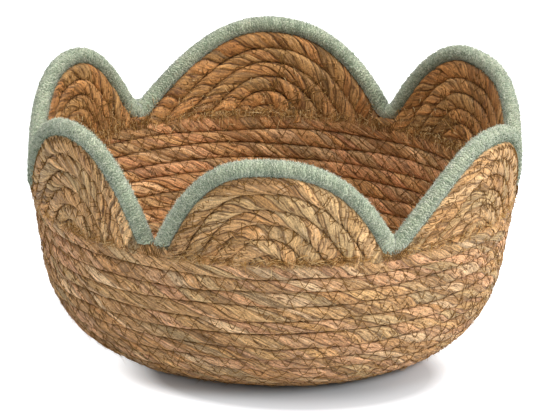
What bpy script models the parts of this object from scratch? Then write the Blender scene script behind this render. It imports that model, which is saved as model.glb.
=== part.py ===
"""Scalloped storage basket, coiled from twisted leaf rope, with a yarn-bound rim.

Metres, +Z up. The origin is the middle of the flat base, on the surface that it stands on.
Azimuths run anticlockwise from above: 0 is the front (-Y), 90 the right (+X).
"""
import math

import bmesh
import bpy
import numpy as np

# Leaf rope of the base and the wall
ROPE_STEP = 0.0096        # from one course to the next, along the wall
ROPE_R = 0.0050           # corner radius of the six-sided rope
FLAT_R = ROPE_R * math.cos(math.pi / 6)
FLAT_CUT = 0.0010         # cut off the underside, a tenth of the rope's diameter
LOOP_POINTS = 24          # points in one loop of the coil
START_R = 0.0048          # radius at which the rope starts to wind
GAP = 0.0003              # between pieces that touch

# Wall, along the rope's centre line
BASE_R = 0.1016           # the flat base ends here and the wall turns up
BEND_LENGTH = 0.0686      # length over which the wall keeps turning
BEND_POWER = 0.601        # below 1, so the wall turns fastest next to the base
WALL_ANGLE = math.radians(80.9)
WALL_LENGTH = 0.1115      # from the base's edge to the end of the rope
END_AZIMUTH = math.radians(250.0)
END_TAPER = math.radians(30.0)
END_SCALE = 0.3           # thickness of the rope's last end, as a share of the whole
COIL_PARTS = (            # nodes of the one rope, each with where it ends past the base's edge
    ("base_coil", 0.0),
    ("wall_coil_low", 0.0380),
    ("wall_coil_middle", 0.0760),
    ("wall_coil_high", WALL_LENGTH),
)

# Scalloped rim
RIM_R = 0.0055            # the binding's outer radius
BORE_R = 0.0039           # the binding's inner radius
CORE_R = 0.0036           # the rope inside the binding
RIM_SEAT = 0.0020         # the crossing of its two slopes in a notch, above the top course
RIM_NOTCH_R = 0.1504      # the rim's distance from the axis at the notches
RIM_LEAN = 0.100          # outward lean of the rim towards the petals' tops
RIM_POWER = 2.45          # height falls off with this power of the distance from the top
RIM_ASIDE = 0.0040        # each end of the rim stands this far from the middle of the first notch
RIM_SPANS = 13            # straight pieces of rim in one petal
NOTCH_ROUND = 0.0075      # half the width over which the rim is rounded in a notch
NOTCH_TALL = 1.2          # height of its upper half there, in radii

# Petals: name, azimuth of the far notch, height of the rim above its notches, skew of its top,
# and how softly its left and its right slope run out into the notches, from 0 to 1
FIRST_NOTCH = math.radians(-28.7)
PETALS = (
    ("front", 28.8, 0.0603, -0.109, 0.0, 0.0),
    ("right_front", 87.2, 0.0578, -0.030, 0.45, 0.0),
    ("right_back", 149.7, 0.0592, 0.200, 0.0, 0.0),
    ("back", 218.2, 0.0580, -0.058, 0.08, 0.4),
    ("left_back", 272.5, 0.0561, -0.200, 0.0, 0.3),
    ("left_front", 331.3, 0.0647, 0.200, 0.45, 0.04),
)
PETAL_LEAN = 0.13         # outward lean of the petals' rope, above the top course
ARCH_SPANS = (12, 11, 10, 9, 7)
ARCH_R = 0.0048           # the arches' rope, thinner where they are closer together
RIM_TO_ARCH = 0.0106      # from the rim's centre line to the first arch's
LAST_ARCH = 0.0115        # height of the innermost arch's centre line above the top course
LAST_HALF_WIDTH = 0.0170  # and half its width
LAST_POWER = 2.4          # and the power of its outline, near to a half round
LAST_ASIDE = 0.75         # and how far it follows the skew of the petal's top
CORE_ROPE_R = 0.0031
CORE_HALF = 0.0070        # half the length of the stub under the fifth arch

UP = np.array([0.0, 0.0, 1.0])

# Colours, linear
LEAF = (0.47, 0.29, 0.14)
PETAL_LEAF = (0.50, 0.32, 0.16)
CORE_LEAF = (0.38, 0.22, 0.10)
YARN = (0.35, 0.50, 0.38)


def clear_scene():
    for item in list(bpy.data.objects):
        bpy.data.objects.remove(item)


def finish(item, colour, roughness):
    """Give the object a plain Principled material of its own."""
    material = bpy.data.materials.new(item.name)
    material.use_nodes = True
    shader = material.node_tree.nodes["Principled BSDF"]
    shader.inputs["Base Color"].default_value = (*colour, 1.0)
    shader.inputs["Roughness"].default_value = roughness
    shader.inputs["Metallic"].default_value = 0.0
    item.data.materials.append(material)


def add_object(name, data):
    item = bpy.data.objects.new(name, data)
    bpy.context.scene.collection.objects.link(item)
    return item


# The wall's profile: the slope grows as a power of the length past the base's edge

PROFILE_T = np.linspace(0.0, WALL_LENGTH + 2 * ROPE_STEP, 3001)
PROFILE_BETA = WALL_ANGLE * np.minimum(PROFILE_T / BEND_LENGTH, 1.0) ** BEND_POWER
PROFILE_D = PROFILE_T[1] - PROFILE_T[0]
PROFILE_R = BASE_R + np.concatenate([[0.0], np.cumsum(np.cos(PROFILE_BETA))[:-1] * PROFILE_D])
PROFILE_Z = np.concatenate([[0.0], np.cumsum(np.sin(PROFILE_BETA))[:-1] * PROFILE_D])
BASE_Z = ROPE_R - FLAT_CUT
TURNS = (BASE_R + WALL_LENGTH - START_R) / ROPE_STEP


def profile(length):
    """Radius, height and slope of the centre line at a length from the axis, along base and wall."""
    past = length - BASE_R
    if past <= 0.0:
        return length, BASE_Z, 0.0
    r = np.interp(past, PROFILE_T, PROFILE_R)
    z = BASE_Z + np.interp(past, PROFILE_T, PROFILE_Z)
    return float(r), float(z), float(np.interp(past, PROFILE_T, PROFILE_BETA))


def place(azimuth, r, z):
    return np.array([r * math.sin(azimuth), -r * math.cos(azimuth), z])


def rope_scale(azimuth):
    """Thickness of the last turn: whole, then tapering to its end."""
    left = END_AZIMUTH - azimuth
    if left >= END_TAPER:
        return 1.0
    return END_SCALE + (1.0 - END_SCALE) * max(left, 0.0) / END_TAPER


def coil_length(azimuth):
    """Length from the axis, along base and wall, at an azimuth counted back from the rope's end."""
    return START_R + ROPE_STEP * (TURNS - (END_AZIMUTH - azimuth) / math.tau)


def coil_point(azimuth):
    """Radius, height, slope and thickness of the rope; its thin end rests on the course below."""
    scale = rope_scale(azimuth)
    r, z, slope = profile(coil_length(azimuth) - FLAT_R * (1.0 - scale))
    return r, z, slope, scale


def top_of_wall(azimuth):
    """Height of the top course's upper side."""
    last_turn = END_AZIMUTH - (END_AZIMUTH - azimuth) % math.tau
    r, z, slope, scale = coil_point(last_turn)
    return z + scale * ROPE_R * math.sin(math.radians(60) + math.pi / 2 - slope)


def seat(azimuth):
    """Height at which petals and rim stand: a gap above the top course, also beside its end."""
    beside = math.radians(3.0)
    return max(top_of_wall(azimuth + shift) for shift in (-beside, 0.0, beside)) + GAP


# Coil of the base and wall

def coil_curve(name, points):
    """Six-sided tube on straight pieces between the points, one corner facing out of the wall."""
    curve = bpy.data.curves.new(name, "CURVE")
    curve.dimensions = "3D"
    curve.twist_mode = "Z_UP"
    curve.bevel_depth = ROPE_R
    curve.bevel_resolution = 1
    curve.use_fill_caps = True
    curve.render_resolution_u = 0
    spline = curve.splines.new("POLY")
    spline.points.add(len(points) - 1)
    for target, (where, slope, scale) in zip(spline.points, points):
        target.co = (*where, 1.0)
        target.radius = scale
        target.tilt = math.pi / 2 - slope
    return add_object(name, curve)


def coil_points():
    """Points of the whole rope, from the middle of the base to its end, in even steps."""
    step = math.tau / LOOP_POINTS
    count = int(TURNS * LOOP_POINTS)
    azimuths = [END_AZIMUTH - step * (count - k) for k in range(count + 1)]
    points = []
    for azimuth in azimuths:
        r, z, slope, scale = coil_point(azimuth)
        points.append((place(azimuth, r, z), slope, scale))
    return points, [coil_length(azimuth) - BASE_R for azimuth in azimuths]


def least_gap(points):
    """Smallest gap between neighbouring turns, flat side to flat side, on points and mid-points."""
    centres = np.array([where for where, slope, scale in points])
    scales = np.array([scale for where, slope, scale in points])
    middles = (centres[1:] + centres[:-1]) / 2
    middle_scales = (scales[1:] + scales[:-1]) / 2
    gaps = []
    for line, size in ((centres, scales), (middles, middle_scales)):
        apart = np.linalg.norm(line[LOOP_POINTS:] - line[:-LOOP_POINTS], axis=1)
        gaps.append((apart - FLAT_R * (size[LOOP_POINTS:] + size[:-LOOP_POINTS])).min())
    return min(gaps)


def flatten_underside(item):
    """Cut off what reaches below the surface that the basket stands on."""
    size = 2 * BASE_R + 0.08
    bpy.ops.mesh.primitive_cube_add(size=1.0, location=(0.0, 0.0, -0.005))
    cutter = bpy.context.object
    cutter.name = item.name + "_cutter"
    cutter.scale = (size, size, 0.01)
    bpy.ops.object.transform_apply(location=True, rotation=False, scale=True)
    cutter.hide_render = True
    cutter.display_type = "WIRE"
    modifier = item.modifiers.new("flat_underside", "BOOLEAN")
    modifier.operation = "DIFFERENCE"
    modifier.solver = "EXACT"
    modifier.object = cutter


def to_mesh(item):
    """Turn a curve object into a mesh, so that a Boolean can cut it."""
    bpy.context.view_layer.update()
    graph = bpy.context.evaluated_depsgraph_get()
    mesh = bpy.data.meshes.new_from_object(item.evaluated_get(graph))
    name = item.name
    bpy.data.objects.remove(item)
    solid = bmesh.new()
    solid.from_mesh(mesh)
    bmesh.ops.remove_doubles(solid, verts=solid.verts, dist=0.000001)
    bmesh.ops.recalc_face_normals(solid, faces=solid.faces)
    solid.to_mesh(mesh)
    solid.free()
    return add_object(name, mesh)


def parting(before, after):
    """Ends of the rope on both sides of a gap in the middle of a straight piece."""
    along = after[0] - before[0]
    half_gap = along / np.linalg.norm(along) * GAP / 2
    middle = (before[0] + after[0]) / 2
    slope = (before[1] + after[1]) / 2
    return (middle - half_gap, slope, before[2]), (middle + half_gap, slope, after[2])


def make_coils():
    """Base and wall: one rope, parted into nodes."""
    points, lengths = coil_points()
    print("least gap between turns of the coil: %.2f mm" % (least_gap(points) * 1000))
    print("turns of the coil: %.2f" % TURNS)
    first = 0
    start = []
    for name, limit in COIL_PARTS:
        stop = sum(length <= limit for length in lengths)
        part = start + points[first:stop]
        if stop < len(points):
            end, begin = parting(points[stop - 1], points[stop])
            part.append(end)
            start = [begin]
        item = to_mesh(coil_curve(name, part))
        if min(where[2] for where, slope, scale in part) < ROPE_R:
            flatten_underside(item)
        finish(item, LEAF, 0.75)
        first = stop


# Petals and rim: tubes swept along a path of azimuth, radius and height

def frames(path):
    """Places along a path, its direction there, and two directions square to it.

    One points away from the basket's axis, the other lies in the wall and points out of the petal.
    """
    places = np.array([place(*step) for step in path])
    along = np.gradient(places, axis=0)
    along /= np.linalg.norm(along, axis=1)[:, None]
    out = np.array([place(step[0], 1.0, 0.0) for step in path])
    out -= (out * along).sum(axis=1)[:, None] * along
    out /= np.linalg.norm(out, axis=1)[:, None]
    return places, along, out, np.cross(out, along)


def section(centre, out, up, half_out, half_up, sides):
    """Ring of corners round a centre, the first one facing out of the wall."""
    angles = np.arange(sides) * math.tau / sides
    return centre + half_out * np.cos(angles)[:, None] * out + half_up * np.sin(angles)[:, None] * up


def azimuth_of(corner):
    return math.atan2(corner[0], -corner[1])


def down_to_seat(ring, along):
    """Move each corner along the path to the height at which the petals stand."""
    moved = []
    for corner in ring:
        for repeat in range(3):
            corner = corner + along * (seat(azimuth_of(corner)) - corner[2]) / along[2]
        moved.append(corner)
    return np.array(moved)


def skin(solid, rings, reverse=False):
    """Add rings of corners and the faces between them; returns the first and the last ring.

    Both diagonals run the same way in the binding's bore and on its rope, which keeps them apart.
    """
    corners = [[solid.verts.new(corner) for corner in ring] for ring in rings]
    sides = len(corners[0])
    for near, far in zip(corners, corners[1:]):
        for k in range(sides):
            after = (k + 1) % sides
            for face in ([near[k], near[after], far[after]], [near[k], far[after], far[k]]):
                solid.faces.new(face[::-1] if reverse else face)
    return corners[0], corners[-1]


def solid_object(name, solid, colour, roughness):
    bmesh.ops.recalc_face_normals(solid, faces=solid.faces)
    mesh = bpy.data.meshes.new(name)
    solid.to_mesh(mesh)
    solid.free()
    item = add_object(name, mesh)
    finish(item, colour, roughness)
    return item


def tube_object(name, rings, colour, roughness):
    """Closed tube through the rings, with a face at each end."""
    solid = bmesh.new()
    first, last = skin(solid, rings)
    solid.faces.new(first)
    solid.faces.new(last)
    return solid_object(name, solid, colour, roughness)


def span_of(index):
    """Azimuths between which one petal's rim runs."""
    ends = [FIRST_NOTCH] + [math.radians(petal[1]) for petal in PETALS]
    aside = RIM_ASIDE / RIM_NOTCH_R
    last = len(PETALS) - 1
    return ends[index] + aside * (index == 0), ends[index + 1] - aside * (index == last)


def foot_slope(index, side):
    """Slope at which a petal's rim leaves its left (-1) or right (1) notch."""
    start, stop = span_of(index)
    name, far, height, skew, left, right = PETALS[index]
    reach = (stop - start) / 2 * RIM_NOTCH_R * (1 - side * skew)
    soft = left if side < 0 else right
    return (1 - soft) * RIM_POWER * height / reach


def notch_lift(index, distance):
    """Parabola that joins the two slopes in the notch before a petal, over their crossing."""
    slopes = foot_slope(index, -1) + foot_slope(index - 1, 1)
    return NOTCH_ROUND * slopes / 4 * np.maximum(1 - distance / NOTCH_ROUND, 0.0) ** 2


def rim_line(index, rounded=True, samples=201):
    """The rim's centre line over one petal: azimuths, radii and heights.

    The height is the notch line plus H times (1 - |u| to the power n), where u runs from -1 to 1
    and reaches 0 at the petal's top, which the skew moves off the middle. A soft slope is mixed
    with (1 + cos(pi u)) / 2, which runs out level.
    """
    start, stop = span_of(index)
    name, far, height, skew, left, right = PETALS[index]
    share = np.linspace(0.0, 1.0, samples)
    azimuths = start + (stop - start) * share
    u = 2 * share - 1 - skew
    u = u / np.where(u < 0, 1 + skew, 1 - skew)
    steep = 1.0 - np.abs(u) ** RIM_POWER
    soft = (1.0 + np.cos(np.pi * u)) / 2
    rise = height * (steep + np.where(u < 0, left, right) * (soft - steep))
    heights = seat(start) + (seat(stop) - seat(start)) * share + RIM_SEAT + rise
    if rounded and index > 0:
        heights += notch_lift(index, (azimuths - start) * RIM_NOTCH_R)
    if rounded and index < len(PETALS) - 1:
        heights += notch_lift(index + 1, (stop - azimuths) * RIM_NOTCH_R)
    return azimuths, RIM_NOTCH_R + RIM_LEAN * rise, heights


def evenly(columns, heights, spans):
    """Columns of a path, azimuths first, at even distances in the unrolled wall."""
    across = np.diff(columns[0]) * RIM_NOTCH_R
    length = np.concatenate([[0.0], np.cumsum(np.hypot(across, np.diff(heights)))])
    wanted = np.linspace(0.0, length[-1], spans + 1)
    return [np.interp(wanted, length, column) for column in columns]


def notch_section(azimuth, height, radius, sides):
    """The rim's section in a notch: stretched upwards, and downwards to the top course."""
    out = place(azimuth, 1.0, 0.0)
    ring = section(place(azimuth, RIM_NOTCH_R, height), out, UP, radius, radius, sides)
    depth = height - seat(azimuth) - (RIM_R - radius)
    for corner in ring:
        above = corner[2] - height
        corner[2] = height + above * (NOTCH_TALL if above > 0 else depth / radius)
    return ring


def rim_rings(radius, sides):
    """Rings of the rim all the way round, from one of its ends to the other."""
    rings = []
    for index in range(len(PETALS)):
        line = rim_line(index)
        path = list(zip(*evenly(line, line[2], RIM_SPANS)))
        places, along, out, up = frames(path)
        inner = [section(places[k], out[k], up[k], radius, radius, sides) for k in range(1, RIM_SPANS)]
        if index == 0:
            start = section(places[0], out[0], up[0], radius, radius, sides)
            rings.append(rim_end(start, along[0], radius, 1.0))
        else:
            rings.append(notch_section(path[0][0], path[0][2], radius, sides))
        rings.extend(inner)
    stop = section(places[-1], out[-1], up[-1], radius, radius, sides)
    rings.append(rim_end(stop, along[-1], radius, -1.0))
    return rings


def rim_end(ring, along, radius, side):
    """End of the rim: each corner stops beside the other end or on the top course."""
    across = place(FIRST_NOTCH + math.pi / 2, 1.0, 0.0)
    middle = place(FIRST_NOTCH, RIM_NOTCH_R, 0.0)
    floor = seat(FIRST_NOTCH) + RIM_R - radius
    moved = []
    for corner in ring:
        beside = (side * GAP - (corner - middle) @ across) / (along @ across)
        above = (floor - corner[2]) / along[2]
        travel = max(beside, above) if side > 0 else min(beside, above)
        moved.append(corner + along * travel)
    return np.array(moved)


def make_rim():
    """Bound rim: a yarn sleeve with a bore, and the rope inside it."""
    solid = bmesh.new()
    outer = skin(solid, rim_rings(RIM_R, 8))
    inner = skin(solid, rim_rings(BORE_R, 8), reverse=True)
    for ring, hole in zip(outer, inner):
        for k in range(8):
            solid.faces.new([ring[k], ring[(k + 1) % 8], hole[(k + 1) % 8], hole[k]])
    solid_object("rim_binding_yarn", solid, YARN, 0.9)
    tube_object("rim_core_rope", rim_rings(CORE_R, 8), CORE_LEAF, 0.8)


def petal_radius(azimuth, z):
    """Distance of a petal's rope from the axis: over the top course, leaning out slightly."""
    last_turn = END_AZIMUTH - (END_AZIMUTH - azimuth) % math.tau
    r, top, slope, scale = coil_point(last_turn)
    return r + PETAL_LEAN * (z - top)


def between_feet(azimuths):
    """Straight line between the heights at which the two feet of an arch stand."""
    low, high = seat(azimuths[0]), seat(azimuths[-1])
    return low + (high - low) * (azimuths - azimuths[0]) / (azimuths[-1] - azimuths[0])


def outer_arch(index):
    """Azimuths and heights above the feet of the outermost arch, at an even distance from the rim."""
    azimuths, radii, heights = rim_line(index, rounded=False)
    slope = np.arctan2(np.gradient(heights), np.gradient(azimuths * RIM_NOTCH_R))
    azimuths = azimuths + RIM_TO_ARCH * np.sin(slope) / RIM_NOTCH_R
    heights = heights - RIM_TO_ARCH * np.cos(slope)
    above = heights - np.array([seat(azimuth) for azimuth in azimuths])
    top = int(np.argmax(above))
    start = np.interp(0.0, above[:top], azimuths[:top])
    stop = np.interp(0.0, above[:top:-1], azimuths[:top:-1])
    inside = (azimuths > start) & (azimuths < stop)
    azimuths = np.concatenate([[start], azimuths[inside], [stop]])
    heights = np.concatenate([[seat(start)], heights[inside], [seat(stop)]])
    return azimuths, heights - between_feet(azimuths)


def inner_arch(azimuths, rises):
    """The same for the innermost arch: a small half round in the middle of the outermost."""
    middle = (azimuths[0] + azimuths[-1]) / 2
    middle += LAST_ASIDE * (azimuths[np.argmax(rises)] - middle)
    u = np.sin(np.linspace(-math.pi / 2, math.pi / 2, 201))
    return middle + u * LAST_HALF_WIDTH / RIM_NOTCH_R, LAST_ARCH * (1.0 - np.abs(u) ** LAST_POWER)


def arch_lines(index, count, spans=200):
    """Centre lines of a petal's arches: even steps from the outermost to the innermost."""
    outer = outer_arch(index)
    first, last = [evenly(line, line[1], spans) for line in (outer, inner_arch(*outer))]
    lines = []
    for number in range(count):
        azimuths, rises = [a + (b - a) * number / (count - 1) for a, b in zip(first, last)]
        heights = between_feet(azimuths) + rises
        radii = np.array([petal_radius(azimuth, z) for azimuth, z in zip(azimuths, heights)])
        lines.append((azimuths, radii, heights))
    return lines


def distances(line, other):
    """Distance from each point of one line to the other line, in the unrolled wall."""
    across = (line[0][:, None] - other[0][None, :]) * RIM_NOTCH_R
    return np.hypot(across, line[2][:, None] - other[2][None, :]).min(axis=1)


def with_thickness(lines):
    """The same lines with a column for the rope's radius: it fills the space, up to ARCH_R."""
    thick = []
    for number, line in enumerate(lines):
        beside = lines[max(number - 1, 0):number] + lines[number + 1:number + 2]
        radii = [distances(line, other) / 2 for other in beside]
        thick.append((*line, np.minimum(np.min(radii, axis=0), ARCH_R)))
    return thick


def make_arch(name, line, spans):
    """One arch of rope, both feet cut to stand on the top course."""
    *path, radii = evenly(line, line[2], spans)
    places, along, out, up = frames(list(zip(*path)))
    rings = [section(*item, radius, radius, 6) for *item, radius in zip(places, out, up, radii)]
    rings[0] = down_to_seat(rings[0], along[0])
    rings[-1] = down_to_seat(rings[-1], along[-1])
    tube_object(name, rings, PETAL_LEAF, 0.75)


def make_core(name, line):
    """Stub of rope that fills the middle of a petal, lying on the top course under the last arch."""
    azimuths, radii, heights, thickness = line
    arch_radius = thickness.max()
    middle = (azimuths[0] + azimuths[-1] + 2 * azimuths[np.argmax(heights)]) / 4
    rings = []
    for share, size in ((-1.0, 0.55), (-0.6, 0.95), (0.0, 1.0), (0.6, 0.95), (1.0, 0.55)):
        here = middle + share * CORE_HALF / RIM_NOTCH_R
        room = np.interp(here, azimuths, heights) - arch_radius - seat(here) - 3 * GAP
        flat = min(CORE_ROPE_R * size, room / 2) * math.cos(math.pi / 6)
        z = seat(here) + flat
        radius = flat / math.cos(math.pi / 6)
        centre = place(here, petal_radius(here, z), z)
        rings.append(section(centre, place(here, 1.0, 0.0), UP, radius, radius, 6))
    tube_object(name, rings, CORE_LEAF, 0.8)


def make_petals():
    """Six scallops, each of five arches of rope round a stub."""
    for index, petal in enumerate(PETALS):
        lines = with_thickness(arch_lines(index, len(ARCH_SPANS)))
        radii = np.concatenate([line[3] for line in lines]) * 1000
        print("%s: rope of %.2f to %.2f mm radius" % (petal[0], radii.min(), radii.max()))
        for number, spans in enumerate(ARCH_SPANS):
            make_arch("petal_%s_arch_%d" % (petal[0], number + 1), lines[number], spans)
        make_core("petal_%s_core" % petal[0], lines[-1])


clear_scene()
make_coils()
make_rim()
make_petals()
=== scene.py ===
# %% [markdown]
# # A scalloped basket of coiled leaf rope
# The real basket is one long rope of twisted dried leaf, wound flat for the base, then up a bowl, and
# sewn course to course with a zigzag thread. Six scallops of nested rope arches stand on it, and a
# rope bound in sage-green yarn runs over them all. The solids already stand in the frame at their
# real size, so this file only gives them their surface: leaf, thread, yarn and loose fibre.

# %% Load the frame
import math

import bpy
import numpy as np
from mathutils import Matrix


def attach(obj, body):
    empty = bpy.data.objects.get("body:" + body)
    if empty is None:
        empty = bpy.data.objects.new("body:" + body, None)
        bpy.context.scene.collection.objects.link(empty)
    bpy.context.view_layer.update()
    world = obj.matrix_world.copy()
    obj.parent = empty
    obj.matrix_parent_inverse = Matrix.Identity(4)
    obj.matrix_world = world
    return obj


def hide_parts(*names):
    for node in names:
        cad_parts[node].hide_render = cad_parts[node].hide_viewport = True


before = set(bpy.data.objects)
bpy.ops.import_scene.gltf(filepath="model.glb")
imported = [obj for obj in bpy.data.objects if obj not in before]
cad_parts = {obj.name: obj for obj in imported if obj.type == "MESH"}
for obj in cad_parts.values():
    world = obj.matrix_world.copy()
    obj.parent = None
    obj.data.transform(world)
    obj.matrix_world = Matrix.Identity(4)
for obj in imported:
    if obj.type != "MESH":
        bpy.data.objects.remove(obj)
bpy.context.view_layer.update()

BODY = "root"
MM = 0.001

# %% [markdown]
# ## The camera
# The picture was taken from far away with a long lens, about 20 degrees above the table. Such a view
# is made with a distance, a height angle and a lens, and not by eye: the lens follows from the number
# of pixels that one radian covers. The camera is then aimed a little above the basket, so that the
# middle of the base lands where it does in the picture, and the lens needs no shift.

# %% Place the camera
PICTURE_WIDTH, PICTURE_HEIGHT = 549, 414
BASE_AT = (270.8, 328.2)                # pixel at which the middle of the base lies
CAMERA_DISTANCE = 3.0
CAMERA_HEIGHT = math.radians(19.39)
CAMERA_ROLL = math.radians(1.12)        # the picture leans clockwise by this much
PIXELS_PER_RADIAN = 4656.0
SENSOR_WIDTH = 36.0
SEES_AS_FAR_AS = 50.0


def unit(vectors):
    """Vectors divided by their lengths."""
    return vectors / np.linalg.norm(vectors, axis=-1, keepdims=True)


def make_camera():
    """Camera at the picture's angle: its axis passes the base by what the picture's centre does."""
    across, below = BASE_AT[0] - PICTURE_WIDTH / 2, BASE_AT[1] - PICTURE_HEIGHT / 2
    cos_roll, sin_roll = math.cos(CAMERA_ROLL), math.sin(CAMERA_ROLL)
    right_px = across * cos_roll + below * sin_roll
    up_px = across * sin_roll - below * cos_roll
    place = CAMERA_DISTANCE * np.array([0.0, -math.cos(CAMERA_HEIGHT), math.sin(CAMERA_HEIGHT)])
    up = np.array([0.0, math.sin(CAMERA_HEIGHT), math.cos(CAMERA_HEIGHT)])
    right = np.array([1.0, 0.0, 0.0])
    aim = -(right * right_px + up * up_px) / PIXELS_PER_RADIAN * CAMERA_DISTANCE
    backward = unit(place - aim)
    side = unit(np.cross([0.0, 0.0, 1.0], backward))
    top = np.cross(backward, side)
    matrix = np.eye(4)
    matrix[:3, 0] = side * cos_roll + top * sin_roll
    matrix[:3, 1] = top * cos_roll - side * sin_roll
    matrix[:3, 2] = backward
    matrix[:3, 3] = place
    data = bpy.data.cameras.new("camera")
    data.sensor_width = SENSOR_WIDTH
    data.lens = PIXELS_PER_RADIAN * SENSOR_WIDTH / PICTURE_WIDTH
    data.clip_end = SEES_AS_FAR_AS
    camera = bpy.data.objects.new("camera", data)
    bpy.context.scene.collection.objects.link(camera)
    camera.matrix_world = Matrix(matrix.tolist())
    bpy.context.scene.camera = camera
    print("lens %.1f mm, aimed %.0f mm above the base" % (data.lens, aim[2] / MM))


make_camera()

# %% [markdown]
# ## Uneven by hand
# Nothing made by hand repeats exactly. Smooth random waves give each rope its swellings, each leaf
# its crooked edge and each stitch its own reach. Value noise does this simply: random heights at
# whole numbers and an eased blend between them. Every table has its own seed, so that the basket
# comes out the same each time.

# %% Smooth random waves
def ease(share):
    """Goes from 0 to 1 with a level start and end."""
    return share * share * (3.0 - 2.0 * share)


def wave(x, seed):
    """Random heights from -1 to 1 at whole numbers of x, with eased blends between them."""
    table = np.random.default_rng(seed).uniform(-1.0, 1.0, 1024)
    low = np.floor(x).astype(int)
    share = ease(x - low)
    return table[low % 1024] * (1.0 - share) + table[(low + 1) % 1024] * share


def waves(x, y, seed):
    """The same over a plane: random heights at whole x and y, blended in both directions."""
    table = np.random.default_rng(seed).uniform(-1.0, 1.0, (256, 256))
    low_x, low_y = np.floor(x).astype(int), np.floor(y).astype(int)
    share_x, share_y = ease(x - low_x), ease(y - low_y)
    near, far = (table[column % 256, low_y % 256] * (1 - share_y)
                 + table[column % 256, (low_y + 1) % 256] * share_y for column in (low_x, low_x + 1))
    return near * (1 - share_x) + far * share_x


sample = wave(np.linspace(0.0, 900.0, 5000), 1)
print("a wave runs from %.2f to %.2f" % (sample.min(), sample.max()))

# %% [markdown]
# ## From arrays to a mesh
# A mesh of a hundred thousand triangles is too slow to build one face at a time. The corners and
# the triangles are worked out as whole arrays and handed over in one go with foreach_set. Values
# that a finish needs, such as which leaf a spot belongs to, ride along as named attributes. Every
# piece then rides on the basket's one body, and a piece that dresses a solid takes its place.

# %% Mesh from arrays
def mesh_object(name, places, triangles, attributes, smooth=True):
    """Object from corner places (n, 3), triangles (m, 3) and values per triangle corner (m, 3, k)."""
    used, numbers = np.unique(triangles, return_inverse=True)
    numbers = numbers.reshape(triangles.shape)
    mesh = bpy.data.meshes.new(name)
    mesh.vertices.add(len(used))
    mesh.vertices.foreach_set("co", places[used].astype(np.float32).ravel())
    mesh.loops.add(numbers.size)
    mesh.loops.foreach_set("vertex_index", numbers.astype(np.int32).ravel())
    mesh.polygons.add(len(numbers))
    mesh.polygons.foreach_set("loop_start", np.arange(0, numbers.size, 3, dtype=np.int32))
    mesh.update(calc_edges=True)
    if smooth:
        mesh.shade_smooth()
    for key, values in attributes.items():
        kind, field = ("FLOAT_COLOR", "color") if values.shape[-1] == 4 else ("FLOAT_VECTOR", "vector")
        layer = mesh.attributes.new(key, kind, "CORNER")
        layer.data.foreach_set(field, values.astype(np.float32).ravel())
    item = bpy.data.objects.new(name, mesh)
    bpy.context.scene.collection.objects.link(item)
    print("%s: %d triangles" % (name, len(numbers)))
    return item


def dress(piece, slot, group, *nodes):
    """Put a piece on the body in place of the solids named, and list it in its group; slot is not used."""
    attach(piece, BODY)
    if nodes:
        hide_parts(*nodes)
    group.append(piece)


# %% [markdown]
# ## A surface wound round a path
# Rope is a tube, but its leaves run round it in long spirals. If the grid's rows run along the tube,
# every leaf edge cuts across them and turns ragged. Here each row follows a spiral: the place along
# the rope is the row's own number less the angle times the lay. A leaf edge is then one row, and
# stays sharp. After a full turn a row meets an earlier one, and there the grid is joined to itself.

# %% Grid along the spiral
def wound_grid(rows, columns, row_step, shift, first, start, stop, point):
    """Closed surface over rows and columns of a spiral grid.

    Row k and column j lie at angle a = -270 + 360 j / columns degrees and at the length
    s = first + k * row_step - a * lay / 360, where the lay is shift rows long. Column "columns" of
    row k is column 0 of row k - shift. Lengths below start(j) or past stop(j) are pressed on to a
    ring there, and a fan closes each ring. Returns places, triangles, and the row and angle of each
    triangle's corners.
    """
    angles = -1.5 * math.pi + math.tau * np.arange(columns + 1) / columns
    lay = shift * row_step
    along = first + row_step * np.arange(rows)
    length = along[:, None] - angles[None, :columns] * lay / math.tau
    before, after = length <= start[None, :], length >= stop[None, :]
    grid = rows * columns
    number = np.arange(grid).reshape(rows, columns)
    number = np.where(before, grid + np.arange(columns), number)
    number = np.where(after, grid + columns + np.arange(columns), number)
    closing = np.full(rows, grid)
    closing[shift:] = number[:rows - shift, 0]
    number = np.concatenate([number, closing[:, None]], axis=1)
    flat = np.arange(rows * (columns + 1)).reshape(rows, columns + 1)

    def pairs(table):
        """Two triangles for each square of the grid."""
        a, b, c, d = table[:-1, :-1], table[1:, :-1], table[1:, 1:], table[:-1, 1:]
        return np.concatenate([np.stack(corners, -1).reshape(-1, 3) for corners in ([a, b, c], [a, c, d])])

    triangles, corners = pairs(number), pairs(flat)
    whole = ((triangles[:, 0] != triangles[:, 1]) & (triangles[:, 1] != triangles[:, 2])
             & (triangles[:, 2] != triangles[:, 0]))
    triangles, corners = triangles[whole], corners[whole]
    angle = np.broadcast_to(angles[None, :columns], length.shape)
    row_of_start = start + angles[:columns] * lay / math.tau
    row_of_stop = stop + angles[:columns] * lay / math.tau
    all_rows = np.concatenate([np.repeat(along, columns), row_of_start, row_of_stop])
    all_angles = np.concatenate([angle.ravel(), angles[:columns], angles[:columns]])
    places = point(all_rows, all_angles)
    rings = [places[grid:grid + columns], places[grid + columns:]]
    places = np.concatenate([places, [ring.mean(axis=0) for ring in rings]])
    here = grid + np.arange(columns)
    after_here = np.roll(here, -1)
    hub = np.full(columns, grid + 2 * columns)
    fans = np.concatenate([np.stack([hub, here, after_here], -1),
                           np.stack([hub + 1, after_here + columns, here + columns], -1)])
    triangles = np.concatenate([triangles, fans])
    corner_rows = np.concatenate([np.repeat(along, columns + 1)[corners], all_rows[fans.clip(max=grid)]])
    corner_angles = np.concatenate([np.tile(angles, rows)[corners], all_angles[fans.clip(max=grid)]])
    return places, triangles, corner_rows, corner_angles
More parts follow.
